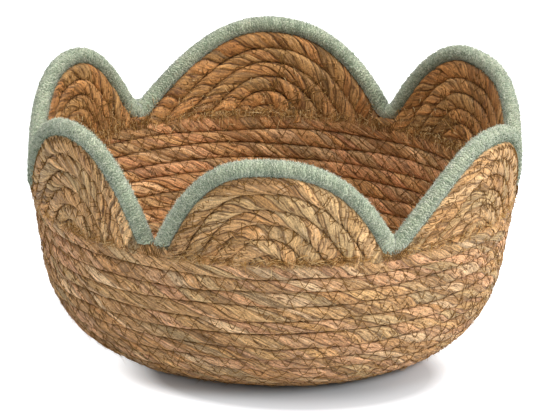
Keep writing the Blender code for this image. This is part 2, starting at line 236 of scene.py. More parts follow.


# %% [markdown]
# ## Leaves in a rope
# A leaf strip in the rope is a few millimetres wide. It swells in its middle, tips a little over its
# neighbour like a roof tile, and a crease parts the two, with painted shade in it. So a rope is
# described by a list of leaves of random width, and each grid row knows its leaf and how far across
# the leaf it lies.

# %% Leaves of random width
ROW_STEP = 1.25 * MM          # along the rope; across a leaf this is about half a millimetre
COLUMNS = 20
LAY_ROWS = 54                 # the leaves go once round the rope in 54 rows, 68 mm
PETAL_LAY_ROWS = 42
SHORT_LAY_ROWS = 20
LIFT, BULGE, TIP, CREASE = (-0.22, 0.22), (0.08, 0.36), (-0.10, 0.40), (0.20, 0.60)   # mm
FIBRE_HEIGHT = 0.11                                                                    # mm


def strips(random, narrow, wide, count):
    """Strips of random width over count rows: each row's strip, its share across it, their number."""
    widths = random.integers(narrow, wide, count // narrow + 2)
    strip = np.repeat(np.arange(len(widths)), widths)[:count]
    first = np.concatenate([[0], np.cumsum(widths)])[strip]
    return strip, (np.arange(count) - first) / widths[strip], len(widths)


def leaf_rows(count, seed, narrow, wide):
    """For each row: its leaf, the share across the leaf, and the height of the leaf's surface there.

    Height is lift + bulge * (1 - (2 f - 1)^2) + tip * (2 f - 1), less the crease where f is 0, for a
    share f across the leaf, and a little more or less along each of its fibres.
    """
    random = np.random.default_rng(seed)
    leaf, share, leaves = strips(random, narrow, wide, count)
    lift, bulge, tip, crease = (random.uniform(low, high, leaves)[leaf] * MM
                                for low, high in (LIFT, BULGE, TIP, CREASE))
    height = lift + bulge * (1 - (2 * share - 1) ** 2) + tip * (2 * share - 1)
    height += random.uniform(-FIBRE_HEIGHT, FIBRE_HEIGHT, count) * MM
    return leaf, share, np.where(share == 0, height - crease, height)


# %% [markdown]
# The rope itself is that list of leaves wound round a path. Its section is a rounded square, because
# each course is pressed between its neighbours. Slow waves bend the leaves, and the creases fade where
# two courses touch, so that the mesh stays closed and even there.

# %% Rope of leaves
ROWS_BEFORE = 0.2             # metres of rows before the start of a rope, so that no number is negative
SECTION_POWER = 0.67
LEAF_SWAY = ((5.0 * MM, 55 * MM), (3.0 * MM, 23 * MM), (0.55 * MM, 7 * MM))   # reach and wave length
SWELL, SWELL_WAVE = 0.035, 28 * MM
# Painted shade where a course faces the next one: the colour darkens past this sine of the angle round the
# rope, fully over this much more.
GROOVE_SHADE_FROM, GROOVE_SHADE_DEPTH = 0.78, 0.16


def squared(value):
    """Sine or cosine pushed out so that the ring is |x|^3 + |y|^3 = 1, a rounded square."""
    return np.sign(value) * np.abs(value) ** SECTION_POWER


def leaf_rope(name, seed, length, path, start, stop, size, shift=LAY_ROWS, narrow=5, wide=15, dents=None,
              relief=1.2):
    """Rope of leaves along a path.

    path(s) gives centre, the directions out of the wall and along it, and the thickness outwards, up
    and down, in shares of size. The section is a rounded square: |x / half_out|^3 + |y / half_up|^3
    = 1, plus relief times the height of the leaf, less the dents. Its colour carries painted shade
    where it faces the next course and in the creases between its leaves.
    """
    lay = shift * ROW_STEP
    rows = int((stop.max() - start.min() + lay) / ROW_STEP) + 5
    first = start.min() - 0.75 * lay - 2 * ROW_STEP
    first = int(round((first + ROWS_BEFORE) / ROW_STEP)) * ROW_STEP - ROWS_BEFORE
    leaf, share, height = leaf_rows(int((length + 2 * ROWS_BEFORE) / ROW_STEP) + 120, seed, narrow, wide)
    grid_rows = ROW_STEP * np.arange(len(height)) - ROWS_BEFORE

    def point(row, angle):
        """Places on the rope at rows and angles, with the leaves' sway, height and creases."""
        seam = ease(np.clip(np.abs(np.abs(angle + math.pi / 2) - math.pi) / 0.9, 0.0, 1.0))
        (bend, bend_wave), (turn, turn_wave), (edge, edge_wave) = LEAF_SWAY
        s = row - angle * lay / math.tau
        s = s + bend * wave(s / bend_wave, seed + 1) * np.sin(angle)
        s = s + turn * wave(s / turn_wave, seed + 6) * np.cos(angle)
        s = s + edge * seam * waves(row / edge_wave, angle * 1.2 + 40, seed + 2)
        centre, out, up, (thick, above, below) = path(s)
        rough = relief * np.interp(row, grid_rows, height)
        rough = rough * (0.8 + 0.35 * waves(row / (9 * MM), angle + 40, seed + 3))
        swell = 1 + SWELL * wave(s / SWELL_WAVE, seed + 4)
        cos, sin = np.cos(angle), np.sin(angle)
        rough = rough * seam * thick
        if dents:
            rough = rough - dents(s, squared(sin), cos)
        x = size[0] * swell * thick * squared(cos) + rough * cos
        y = size[1] * swell * np.where(sin > 0, above, below) * squared(sin) + rough * sin
        return centre + x[:, None] * out + y[:, None] * up

    places, triangles, row, angle = wound_grid(rows, COLUMNS, ROW_STEP, shift, first, start, stop, point)
    from_first = (row + ROWS_BEFORE) / ROW_STEP
    near = np.clip(from_first.round().astype(int), 0, len(leaf) - 1)
    number = np.clip(((row.mean(axis=1) + ROWS_BEFORE) / ROW_STEP).astype(int), 0, len(leaf) - 1)
    random = np.random.default_rng(seed + 5)
    tones = random.uniform(0.0, 1.0, (leaf.max() + 1, 3))
    own = np.repeat(tones[leaf[number]][:, None, :], 3, axis=1)
    # Painted shade: the crease row of each leaf gets a share of dark colour, as shade in the crease.
    crease = np.where(share[near] == 0, 0.25 + 0.75 * tones[leaf[near], 1], 0.0)
    # Painted shade where the rope faces the next course, in the groove where shade falls.
    groove = np.clip((np.abs(np.sin(angle)) - GROOVE_SHADE_FROM) / GROOVE_SHADE_DEPTH, 0.0, 1.0) ** 1.5
    fibre = 0.45 * own[..., 1] + 0.55 * random.uniform(0.0, 1.0, len(leaf))[near]
    # The third value is painted shade: the darker of crease and groove.
    tone = np.stack([own[..., 0], fibre, np.maximum(crease, groove), own[..., 2]], axis=-1)
    grain = np.stack([angle * lay / math.tau + own[..., 2] * 3.0, row * 0.45, own[..., 0] * 5.0], -1)
    return mesh_object(name, places, triangles, {"tone": tone, "grain": grain})


def short_rope(name, seed, length, path, size, shift=SHORT_LAY_ROWS):
    """Short end of rope with narrow leaves and a short lay, cut off square at both ends."""
    return leaf_rope(name, seed, length, path, np.zeros(COLUMNS), np.full(COLUMNS, length), size, shift,
                     narrow=2, wide=6)


print("lay of the leaves: %.0f mm" % (LAY_ROWS * ROW_STEP / MM))

# %% [markdown]
# ## The coil's path
# The wall is a curve that starts level at the edge of the base and bends upwards until it is nearly
# upright. The rope follows it in a spiral, one course further with each turn. The same formulas and
# values stand in the source of the solids, so each course of leaves lies exactly on its solid.

# %% Path of the coil
ROPE_STEP = 9.6 * MM
ROPE_R = 5.0 * MM
FLAT_R = ROPE_R * math.cos(math.pi / 6)
START_R = 4.8 * MM
GAP = 0.3 * MM
BASE_R = 101.6 * MM
BEND_LENGTH = 68.6 * MM
BEND_POWER = 0.601
WALL_ANGLE = math.radians(80.9)
WALL_LENGTH = 111.5 * MM
END_AZIMUTH = math.radians(250.0)
END_TAPER = math.radians(30.0)
END_SCALE = 0.3
BASE_Z = 4.0 * MM
TURNS = (BASE_R + WALL_LENGTH - START_R) / ROPE_STEP
LOOP_POINTS = 24

PROFILE_T = np.linspace(0.0, WALL_LENGTH + 2 * ROPE_STEP, 3001)
PROFILE_BETA = WALL_ANGLE * np.minimum(PROFILE_T / BEND_LENGTH, 1.0) ** BEND_POWER
PROFILE_D = PROFILE_T[1]
PROFILE_R = BASE_R + np.concatenate([[0.0], np.cumsum(np.cos(PROFILE_BETA))[:-1] * PROFILE_D])
PROFILE_Z = np.concatenate([[0.0], np.cumsum(np.sin(PROFILE_BETA))[:-1] * PROFILE_D])


def profile(length):
    """Radius, height and slope of the wall at lengths from the axis, along base and wall."""
    past = length - BASE_R
    r = np.where(past > 0.0, np.interp(past, PROFILE_T, PROFILE_R), length)
    return r, BASE_Z + np.interp(past, PROFILE_T, PROFILE_Z), np.interp(past, PROFILE_T, PROFILE_BETA)


def place(azimuth, r, z):
    """Point at an azimuth that runs anticlockwise from the front, seen from above."""
    return np.stack([r * np.sin(azimuth), -r * np.cos(azimuth), z + 0.0 * azimuth], -1)


def outward(azimuth):
    """Level direction away from the axis."""
    return place(azimuth, 1.0, 0.0)


def lengths_along(places):
    """Length of a line of points up to each of them."""
    return np.concatenate([[0.0], np.cumsum(np.linalg.norm(np.diff(places, axis=0), axis=1))])


def coil_length(azimuth):
    """Length from the axis, along base and wall, at an azimuth counted back from the rope's end."""
    return START_R + ROPE_STEP * (TURNS - (END_AZIMUTH - azimuth) / math.tau)


def coil_frame(azimuth):
    """Centre of the rope, the directions out of the wall and up along it, and the thickness."""
    scale = END_SCALE + (1 - END_SCALE) * np.clip((END_AZIMUTH - azimuth) / END_TAPER, 0.0, 1.0)
    r, z, slope = profile(coil_length(azimuth) - FLAT_R * (1 - scale))
    out = place(azimuth, np.sin(slope), -np.cos(slope))
    up = place(azimuth, np.cos(slope), np.sin(slope))
    return place(azimuth, r, z), out, up, scale


COIL_AZIMUTHS = np.linspace(END_AZIMUTH - TURNS * math.tau, END_AZIMUTH, int(TURNS * 720))
COIL_S = lengths_along(coil_frame(COIL_AZIMUTHS)[0])
LAST_GROOVE = np.interp(END_AZIMUTH - math.tau, COIL_AZIMUTHS, COIL_S)
print("%.2f turns, %.2f m of rope" % (TURNS, COIL_S[-1]))

# %% [markdown]
# Hand-guided sewing is never quite even: a groove wanders by up to a millimetre, and the courses above
# and below give way to it. Each course is therefore made to fill the space between its two grooves.

# %% Crooked grooves
def groove_shift(s):
    """How far the groove above the rope lies off its place, by length of rope; none past the last."""
    fade = np.clip((LAST_GROOVE - s) / (60 * MM), 0.0, 1.0) * np.clip(s / (400 * MM), 0.0, 1.0)
    return fade * MM * (1.0 * wave(s / (62 * MM), 34) + 0.4 * wave(s / (24 * MM), 35))


def coil_path(s):
    """The rope's path by its length: each course fills the space between its two crooked grooves."""
    azimuth = np.interp(s, COIL_S, COIL_AZIMUTHS)
    centre, out, up, scale = coil_frame(azimuth)
    upper = groove_shift(s)
    lower = groove_shift(np.interp(azimuth - math.tau, COIL_AZIMUTHS, COIL_S))
    turn = (azimuth - COIL_AZIMUTHS[0]) / math.tau
    away = 0.38 * MM * waves(s / (55 * MM), turn * 0.5, 31) + 0.2 * MM * wave(s / (21 * MM), 32)
    tall = scale * (1 + (upper - lower) / ROPE_STEP)
    level = (upper + lower) / 2
    return centre + away[:, None] * out + level[:, None] * up, out, up, (scale, tall, tall)


# %% [markdown]
# ## Where the thread pulls in
# A machine sews the courses together with a zigzag over each groove, and the thread presses the leaf
# in, so that the wall looks quilted. The zigzag is worked out first: the rope needs it for its dents,
# and the thread itself follows the same line later.

# %% Zigzag over the grooves
STITCH = 12.5 * MM            # one zig and zag
STITCH_REACH = 5.2 * MM
FIRST_STITCH = 25 * MM
DENT, DENT_HALF = 0.6 * MM, 1.2 * MM


def teeth(along, seed, pitch, reach):
    """Zigzag: at lengths along a groove, the distance across it, with uneven teeth."""
    phase = along / pitch + 0.35 * wave(along / (19 * MM), seed)
    tooth = 4 * np.abs(phase - np.floor(phase + 0.5)) - 1
    return tooth * reach * (1 + 0.35 * wave(along / (12 * MM), seed + 1))


def coil_dents(s, level, face):
    """How far two threads press the rope in: a bell curve of the distance to each zigzag line.

    level runs from -1 at the lower groove to 1 at the upper one; face is above 0 outside.
    """
    azimuth = np.interp(s, COIL_S, COIL_AZIMUTHS)
    before = np.interp(azimuth - math.tau, COIL_AZIMUTHS, COIL_S)
    dent = np.zeros_like(s)
    for groove, along in ((1.0, s), (-1.0, before)):
        line = np.where(face > 0, teeth(along, 4001, STITCH, STITCH_REACH),
                        teeth(along, 3999, STITCH, STITCH_REACH))
        away = (level - groove) * ROPE_STEP / 2 - line
        sewn = (along > FIRST_STITCH) & (along < LAST_GROOVE)
        dent += np.where(sewn, DENT * np.exp(-(away / DENT_HALF) ** 2), 0.0)
    return dent


# %% [markdown]
# ## Base and wall
# The rope is one, but a mesh of the whole would be too heavy, so it is made in the four lengths that
# the solids have too. Each length ends on the same ring as the next one starts, so no break shows.
# Where the base stands on the table its underside is pressed flat.

# %% Rope of the base and the wall
COIL_PARTS = (("base_coil", 0.0), ("wall_coil_low", 38.0 * MM), ("wall_coil_middle", 76.0 * MM),
              ("wall_coil_high", WALL_LENGTH))
COIL_SIZE = (4.75 * MM, 5.1 * MM)     # half the rope's thickness across the wall and along it


def coil_partings():
    """Lengths of rope at which one solid ends and the next starts."""
    step = math.tau / LOOP_POINTS
    count = int(TURNS * LOOP_POINTS)
    azimuths = END_AZIMUTH - step * (count - np.arange(count + 1))
    ends = [int((coil_length(azimuths) - BASE_R <= limit).sum()) for name, limit in COIL_PARTS]
    middles = [azimuths[end - 1] + step / 2 if end < len(azimuths) else END_AZIMUTH for end in ends]
    return [0.0] + list(np.interp(middles, COIL_AZIMUTHS, COIL_S))


def press_flat(item):
    """Raise every corner below the table to the table."""
    mesh = item.data
    places = np.empty(len(mesh.vertices) * 3, dtype=np.float32)
    mesh.vertices.foreach_get("co", places)
    places[2::3] = np.maximum(places[2::3], 0.0)
    mesh.vertices.foreach_set("co", places)
    mesh.update()


leaf_pieces = []
partings = coil_partings()
for (node, limit), begin, end in zip(COIL_PARTS, partings, partings[1:]):
    piece = leaf_rope(node + "_leaf", 100, COIL_S[-1], coil_path, np.full(COLUMNS, begin),
                      np.full(COLUMNS, end), COIL_SIZE, dents=coil_dents)
    if node in ("base_coil", "wall_coil_low"):
        press_flat(piece)
    dress(piece, "leaf_rope", leaf_pieces, node)

# %% [markdown]
# The rope's first turn leaves a small hole round the axis. On the real base the rope's bent end fills
# it, so a short upright stub stands in it, a little lower than the rope.

# %% Stub in the middle of the base
MIDDLE_LENGTH, MIDDLE_R, MIDDLE_Z = 6.4 * MM, 6.4 * MM, 0.5 * MM


def middle_path(s):
    """Straight up the axis, with the thickness (1 - |x|^4)^(1/2) for x from -1 to 1 along it."""
    s = np.clip(s, 0.0, MIDDLE_LENGTH)
    thick = np.sqrt(np.clip(1 - (2 * s / MIDDLE_LENGTH - 1) ** 4, 0.1, 1.0))
    centre, out, up = (np.zeros((len(s), 3)) for axis in range(3))
    centre[:, 2], out[:, 0], up[:, 1] = MIDDLE_Z + s, 1.0, -1.0
    return centre, out, up, (thick, thick, thick)


middle = short_rope("base_middle_leaf", 90, MIDDLE_LENGTH, middle_path, (MIDDLE_R, MIDDLE_R))
dress(middle, "leaf_rope", leaf_pieces)

# %% [markdown]
# ## Scallops
# Each scallop is a fan of five rope arches round a short stub. The outermost keeps its distance from
# the rim and the innermost is a small half round, with even steps between. Their feet are cut off
# level with the top course. A plain half circle would be simpler, but the real ones are wider than
# high and lean to one side, so the outline is 1 - |u| to a power, with its top moved off the middle.
# Where the rim runs out gently into a notch, some of (1 + cos(pi u)) / 2 is mixed in.

# %% Line of the rim
RIM_R = 5.5 * MM
RIM_SEAT = 2.0 * MM
RIM_NOTCH_R = 150.4 * MM
RIM_LEAN = 0.100
RIM_POWER = 2.45
RIM_ASIDE = 4.0 * MM
NOTCH_ROUND = 7.5 * MM
FIRST_NOTCH = math.radians(-28.7)
# name, azimuth of the notch after it in degrees, height in mm, skew of its top, softness left and right
PETALS = (("front", 28.8, 60.3, -0.109, 0.0, 0.0), ("right_front", 87.2, 57.8, -0.030, 0.45, 0.0),
          ("right_back", 149.7, 59.2, 0.200, 0.0, 0.0), ("back", 218.2, 58.0, -0.058, 0.08, 0.4),
          ("left_back", 272.5, 56.1, -0.200, 0.0, 0.3), ("left_front", 331.3, 64.7, 0.200, 0.45, 0.04))
NAMES = [petal[0] for petal in PETALS]
NOTCHES = [FIRST_NOTCH] + [math.radians(petal[1]) for petal in PETALS]


def last_turn(azimuth):
    """Radius, height, slope and thickness of the rope's last turn at azimuths."""
    turn = END_AZIMUTH - (END_AZIMUTH - azimuth) % math.tau
    scale = END_SCALE + (1 - END_SCALE) * np.clip((END_AZIMUTH - turn) / END_TAPER, 0.0, 1.0)
    return (*profile(coil_length(turn) - FLAT_R * (1 - scale)), scale)


def seat(azimuth):
    """Height at which scallops and rim stand: a gap above the top course, also beside its end."""
    heights = []
    for beside in (-3.0, 0.0, 3.0):
        r, z, slope, scale = last_turn(azimuth + math.radians(beside))
        heights.append(z + scale * ROPE_R * np.sin(math.radians(150.0) - slope))
    return np.max(heights, axis=0) + GAP


def span_of(index):
    """Azimuths between which one scallop's rim runs; at the first notch two ends stand side by side."""
    aside = RIM_ASIDE / RIM_NOTCH_R
    return NOTCHES[index] + aside * (index == 0), NOTCHES[index + 1] - aside * (index == len(PETALS) - 1)


def foot_slope(index, side):
    """Slope at which a scallop's rim leaves its left (-1) or right (1) notch."""
    start, stop = span_of(index)
    name, far, height, skew, left, right = PETALS[index]
    half = (stop - start) / 2 * RIM_NOTCH_R * (1 - side * skew)
    return (1 - (left if side < 0 else right)) * RIM_POWER * height * MM / half


def notch_lift(index, distance):
    """Parabola that joins the two slopes in the notch before a scallop, over their crossing."""
    slopes = foot_slope(index, -1) + foot_slope(index - 1, 1)
    return NOTCH_ROUND * slopes / 4 * np.maximum(1 - distance / NOTCH_ROUND, 0.0) ** 2


def rim_line(index, rounded=True, samples=201):
    """Azimuths, radii and heights of the rim over one scallop: notch line + H (1 - |u|^n) + lifts."""
    start, stop = span_of(index)
    name, far, height, skew, left, right = PETALS[index]
    share = np.linspace(0.0, 1.0, samples)
    azimuths = start + (stop - start) * share
    u = 2 * share - 1 - skew
    u = u / np.where(u < 0, 1 + skew, 1 - skew)
    steep, soft = 1.0 - np.abs(u) ** RIM_POWER, (1.0 + np.cos(np.pi * u)) / 2
    rise = height * MM * (steep + np.where(u < 0, left, right) * (soft - steep))
    heights = seat(start) + (seat(stop) - seat(start)) * share + RIM_SEAT + rise
    if rounded and index > 0:
        heights = heights + notch_lift(index, (azimuths - start) * RIM_NOTCH_R)
    if rounded and index < len(PETALS) - 1:
        heights = heights + notch_lift(index + 1, (stop - azimuths) * RIM_NOTCH_R)
    return azimuths, RIM_NOTCH_R + RIM_LEAN * rise, heights


print("rim tops at", [round(rim_line(k)[2].max() / MM, 1) for k in range(len(PETALS))], "mm")

# %% Lines of the arches
PETAL_LEAN = 0.13
ARCHES = 5
ARCH_R = 4.8 * MM
RIM_TO_ARCH = 10.6 * MM
LAST_ARCH = 11.5 * MM
LAST_HALF_WIDTH = 17.0 * MM
LAST_POWER = 2.4
LAST_ASIDE = 0.75
SHARES = np.linspace(0.0, 1.0, 201)


def evenly(azimuths, rises):
    """The same line with its points at even distances in the unrolled wall."""
    length = np.concatenate([[0.0], np.cumsum(np.hypot(np.diff(azimuths) * RIM_NOTCH_R, np.diff(rises)))])
    return [np.interp(SHARES * length[-1], length, column) for column in (azimuths, rises)]


def straight(azimuths, left, right):
    """Height at azimuths on the straight line between the seats at two feet."""
    return seat(left) + (seat(right) - seat(left)) * (azimuths - left) / (right - left)


def outer_and_inner(index):
    """Azimuths and heights above the feet of a scallop's outermost and innermost arch."""
    azimuths, radii, heights = rim_line(index, rounded=False)
    slope = np.arctan2(np.gradient(heights), np.gradient(azimuths * RIM_NOTCH_R))
    azimuths = azimuths + RIM_TO_ARCH * np.sin(slope) / RIM_NOTCH_R
    above = heights - RIM_TO_ARCH * np.cos(slope) - seat(azimuths)
    heights = above + seat(azimuths)
    top = int(np.argmax(above))
    start = np.interp(0.0, above[:top], azimuths[:top])
    stop = np.interp(0.0, above[:top:-1], azimuths[:top:-1])
    inside = (azimuths > start) & (azimuths < stop)
    azimuths = np.concatenate([[start], azimuths[inside], [stop]])
    heights = np.concatenate([[seat(start)], heights[inside], [seat(stop)]])
    rises = heights - straight(azimuths, start, stop)
    middle = (start + stop) / 2
    middle += LAST_ASIDE * (azimuths[np.argmax(rises)] - middle)
    u = np.sin(np.linspace(-math.pi / 2, math.pi / 2, 201))
    return evenly(azimuths, rises), evenly(middle + u * LAST_HALF_WIDTH / RIM_NOTCH_R,
                                           LAST_ARCH * (1.0 - np.abs(u) ** LAST_POWER))


def petal_radius(azimuth, z):
    """Distance of a scallop's rope from the axis: over the top course, leaning out like the wall."""
    r, top, slope, scale = last_turn(azimuth)
    return r + PETAL_LEAN * (z - top)


ARCH_ENDS = [outer_and_inner(index) for index in range(len(PETALS))]


def arch_line(index, part, share=SHARES):
    """Azimuths, radii and heights along an arch; part is 0 for the outermost, 1 for the innermost."""
    def between(column, at):
        outer, inner = (np.interp(at, SHARES, line[column]) for line in ARCH_ENDS[index])
        return outer + (inner - outer) * part

    azimuths = between(0, share)
    heights = between(1, share) + straight(azimuths, between(0, 0.0), between(0, 1.0))
    return azimuths, petal_radius(azimuths, heights), heights


print("the front scallop's arches reach",
      [round(arch_line(0, k / (ARCHES - 1))[2].max() / MM, 1) for k in range(ARCHES)], "mm")

# %% [markdown]
# Each arch is the same leaf rope on another path. The path runs on straight past both feet, and the
# rope is pressed on to the top course there. Its first and last rings slant as the course does.

# %% Rope of the scallops
SINK = 1.9 * MM               # how far the feet go into the soft top course
BEYOND = 15 * MM              # how far a path runs on past the feet


def extended(places, beyond):
    """A line that runs on straight past both ends: its points, their lengths and directions."""
    places = np.concatenate([places[:1] + unit(places[:1] - places[1:2]) * beyond, places,
                             places[-1:] + unit(places[-1:] - places[-2:-1]) * beyond])
    s = lengths_along(places) - beyond
    return places, s, unit(np.gradient(places, s, axis=0))


def frame_on(line, length):
    """Centre of such a line at lengths of it, the directions out of the wall and up along it."""
    places, s, along = line
    centre, direction = (np.stack([np.interp(length, s, table[:, k]) for k in range(3)], -1)
                         for table in (places, along))
    direction = unit(direction)
    out = centre * [1.0, 1.0, 0.0]
    out = unit(out - (out * direction).sum(-1, keepdims=True) * direction)
    return centre, out, np.cross(out, direction)


def arch_path(azimuths, radii, heights, seed, above, below):
    """Path by length through the points, straight past both ends; also the length of the line.

    above and below are the rope's thickness at the points, in shares of its size.
    """
    line = extended(place(azimuths, radii, heights), BEYOND)
    s = line[1]

    def path(length):
        """The line with small waves across and along the wall, and the thickness at each length."""
        centre, out, up = frame_on(line, length)
        away = 0.3 * MM * wave(length / (26 * MM), seed)
        level = 0.22 * MM * wave(length / (22 * MM), seed + 1)
        up_thick, down_thick = (np.interp(length, s[1:-1], values) for values in (above, below))
        return (centre + away[:, None] * out + level[:, None] * up, out, up,
                (np.minimum((up_thick + down_thick) / 2, 1.0), up_thick, down_thick))

    return path, s[-1] - BEYOND


def foot_lengths(path, length, half, columns, sink):
    """Length at which each column of the rope meets the top course, at the start and at the end."""
    angles = -1.5 * math.pi + math.tau * np.arange(columns) / columns
    found = []
    for end, step in ((0.0, 0.5 * MM), (length, -0.5 * MM)):
        centre, out, up, thick = path(np.array([end, end + step]))
        along = unit(centre[1] - centre[0]) * np.sign(step)
        ring = centre[0] + half * (np.cos(angles)[:, None] * out[0] + np.sin(angles)[:, None] * up[0])
        low = seat(np.arctan2(ring[:, 0], -ring[:, 1])) - sink
        found.append(end + (low - ring[:, 2]) / along[2])
    return found


def apart(line, other):
    """Distance from each point of one line to the nearest point of the other, in the wall."""
    flat = [np.stack([item[0] * RIM_NOTCH_R, item[2]], -1) for item in (line, other)]
    return np.linalg.norm(flat[0][:, None] - flat[1][None], axis=-1).min(axis=1)


RELIEF = 1.7                  # the scallops' leaves stand out more than the wall's
ARCH_OUT = 4.6 * MM
LEAST_THICK, MOST_THICK = 0.55, 1.4
petal_pieces = []
for index, petal in enumerate(NAMES):
    lines = [arch_line(index, number / (ARCHES - 1)) for number in range(ARCHES)]
    to_rim = apart(lines[0], rim_line(index)) - RIM_R + 1.2 * MM
    gaps = [to_rim] + [apart(line, before) / 2 for before, line in zip(lines, lines[1:])]
    for number, line in enumerate(lines):
        seed = 1000 + 100 * index + 10 * number
        below = apart(line, lines[number + 1]) / 2 if number < ARCHES - 1 else np.full(len(SHARES), ARCH_R)
        above, below = (np.clip(gap / ARCH_R, LEAST_THICK, MOST_THICK) for gap in (gaps[number], below))
        path, length = arch_path(*line, seed, above, below)
        start, stop = foot_lengths(path, length, ARCH_R, COLUMNS, SINK)
        piece = leaf_rope("petal_%s_leaf_%d" % (petal, number + 1), seed, length, path, start, stop,
                          (ARCH_OUT, ARCH_R * 1.07), shift=PETAL_LAY_ROWS, relief=RELIEF)
        dress(piece, "leaf_rope", petal_pieces, "petal_%s_arch_%d" % (petal, number + 1))

# %% [markdown]
# ## Leaf on the top course
# Three more kinds of leaf lie on the top course. Under the innermost arch there is room for a short
# end of rope only, swelling to fill the room and thin at both ends. A flat wad lies under each notch
# of the rim. A thin row of crushed leaf ends fills the seam under each scallop's feet, so that no
# light shows through it. All are short ropes on a path that follows the course.

# %% Paths on the top course
CORE_HALF = 11.0 * MM
CORE_FLAT = 3.1 * MM
NOTCH_WADS = [(half * MM, tall * MM) for half, tall in
              ((10.5, 4.6), (10.5, 3.4), (12.0, 3.8), (12.4, 4.2), (12.0, 3.8), (12.0, 3.8))]
WAD_OUT = 4.5 * MM
SEAM_SIZE, SEAM_RISE = (3.5 * MM, 2.3 * MM), 0.3 * MM


def lying_path(middle, half, shape):
    """Path along the top course, half on each side of an azimuth.

    shape(across, azimuth) gives the height of its middle and its thickness outwards, up and down.
    """
    def path(s):
        """The path by length from its start."""
        azimuth = middle + (s - half) / RIM_NOTCH_R
        z, thick = shape(s - half, azimuth)
        centre = place(azimuth, petal_radius(azimuth, z), z)
        up = np.zeros_like(centre)
        up[:, 2] = 1.0
        return centre, outward(azimuth), up, thick

    return path


def swelling(across, half):
    """Thickness (1 - |x|^2.5)^(1/2), for x from -1 to 1 between points just past both ends."""
    return np.clip(1.0 - (np.abs(across) / (half + 1.5 * MM)) ** 2.5, 0.05, 1.0) ** 0.5


def stub_shape(line):
    """Shape of a stub that is as thick as the room under an arch allows."""
    azimuths, radii, heights = line

    def shape(across, azimuth):
        room = np.interp(azimuth, azimuths, heights) - ARCH_R - seat(azimuth)
        flat = np.minimum(CORE_FLAT * swelling(across, CORE_HALF), np.maximum(room, 1.0 * MM) / 2)
        return seat(azimuth) + flat - 0.3 * MM, (flat / CORE_FLAT,) * 3

    return shape


def wad_shape(half, tall):
    """Shape of a wad that fills the room between a notch of the rim and the top course."""
    def shape(across, azimuth):
        share = swelling(across, half)
        return seat(azimuth) + tall * share - SINK, (share ** 0.5, share, share)

    return shape


def seam_shape(across, azimuth):
    """Even row of leaf ends in the seam under a scallop's feet."""
    return seat(azimuth) + SEAM_RISE, (np.ones(len(across)),) * 3


# %% Seams, wads and stubs
for index, petal in enumerate(NAMES):
    length = (NOTCHES[index + 1] - NOTCHES[index]) * RIM_NOTCH_R
    piece = short_rope("petal_%s_foot_leaf" % petal, 2700 + 10 * index, length,
                       lying_path(NOTCHES[index], 0.0, seam_shape), SEAM_SIZE)
    dress(piece, "leaf_rope", petal_pieces)

for index, (half, tall) in enumerate(NOTCH_WADS):
    piece = short_rope("notch_wad_%d" % (index + 1), 2500 + 10 * index, 2 * half,
                       lying_path(NOTCHES[index], half, wad_shape(half, tall)), (WAD_OUT, tall))
    dress(piece, "leaf_rope", petal_pieces)

for index, petal in enumerate(NAMES):
    line = arch_line(index, 1.0)
    middle = (line[0][0] + line[0][-1] + 2 * line[0][np.argmax(line[2])]) / 4
    piece = short_rope("petal_%s_stub" % petal, 2000 + 10 * index, 2 * CORE_HALF,
                       lying_path(middle, CORE_HALF, stub_shape(line)),
                       (CORE_FLAT * 1.1, CORE_FLAT * 1.15))
    dress(piece, "leaf_rope", petal_pieces, "petal_%s_core" % petal)

# %% [markdown]
# ## The bound rim
# Yarn is wound closely round a rope, and that rope is bent over the scallops. In the notches it turns
# sharply: the wraps fan out below and are squeezed together above. The path is rounded there, the
# section grows taller, and whatever would reach past the notch's middle plane is pressed on to it.
# At the front left notch the two ends of the rim meet, and both are cut off on that plane.

# %% Path of the rim
YARN_STEP = 0.36 * MM
YARN_COLUMNS = 24
YARN_SHIFT = 14
CHEVRONS = 6                  # V shapes side by side round the rim
CHEVRON_DEPTH = 1.5 * MM
NOTCH_TALL = 0.2
YARN_SINK = 1.2 * MM
END_ABOVE = 6.0 * MM
RIM_BEYOND = 14 * MM
FULL_NOTCH, SAGGING_NOTCH = 4, 1      # filled to a round above, and sagging on to the top course


def rim_points():
    """Azimuths, radii and heights of the rim over all scallops, one after the other."""
    tables = [rim_line(index, samples=801) for index in range(len(PETALS))]
    return [np.concatenate([table[k][:-1] for table in tables] + [tables[-1][k][-1:]]) for k in range(3)]


RIM_POINTS = rim_points()
RIM_LINE = extended(place(*RIM_POINTS), RIM_BEYOND)
RIM_S = RIM_LINE[1]
RIM_AZIMUTHS = np.concatenate([RIM_POINTS[0][:1], RIM_POINTS[0], RIM_POINTS[0][-1:]])
RIM_LENGTH = RIM_S[-1] - RIM_BEYOND
print("the rim is %.0f mm long" % (RIM_LENGTH / MM))


def rim_frame(s):
    """Centre, direction out, direction up and distance to the nearest notch at lengths of rim."""
    azimuth = np.interp(s, RIM_S, RIM_AZIMUTHS)
    away = (azimuth[:, None] - np.array(NOTCHES)[None, :]) * RIM_NOTCH_R
    nearest = np.take_along_axis(away, np.abs(away).argmin(axis=1)[:, None], axis=1)[:, 0]
    return (*frame_on(RIM_LINE, s), nearest)


def at_notches(places):
    """Distance of places across the middle plane of their nearest notch, its direction, its number."""
    azimuth = np.arctan2(places[:, 0], -places[:, 1])
    notches = np.array(NOTCHES[:-1])
    turn = (azimuth[:, None] - notches[None, :] + math.pi) % math.tau - math.pi
    number = np.abs(turn).argmin(axis=1)
    across = outward(notches[number] + math.pi / 2)
    return (places * across).sum(-1), across, number


# %% [markdown]
# The yarn is a grid along the spiral like the leaves, but with a short lay. Each strand is a few rows
# wide with a round back, and it runs up and down in small Vs as in a braided cord. At the front left
# notch the two ends stop short of the top course.

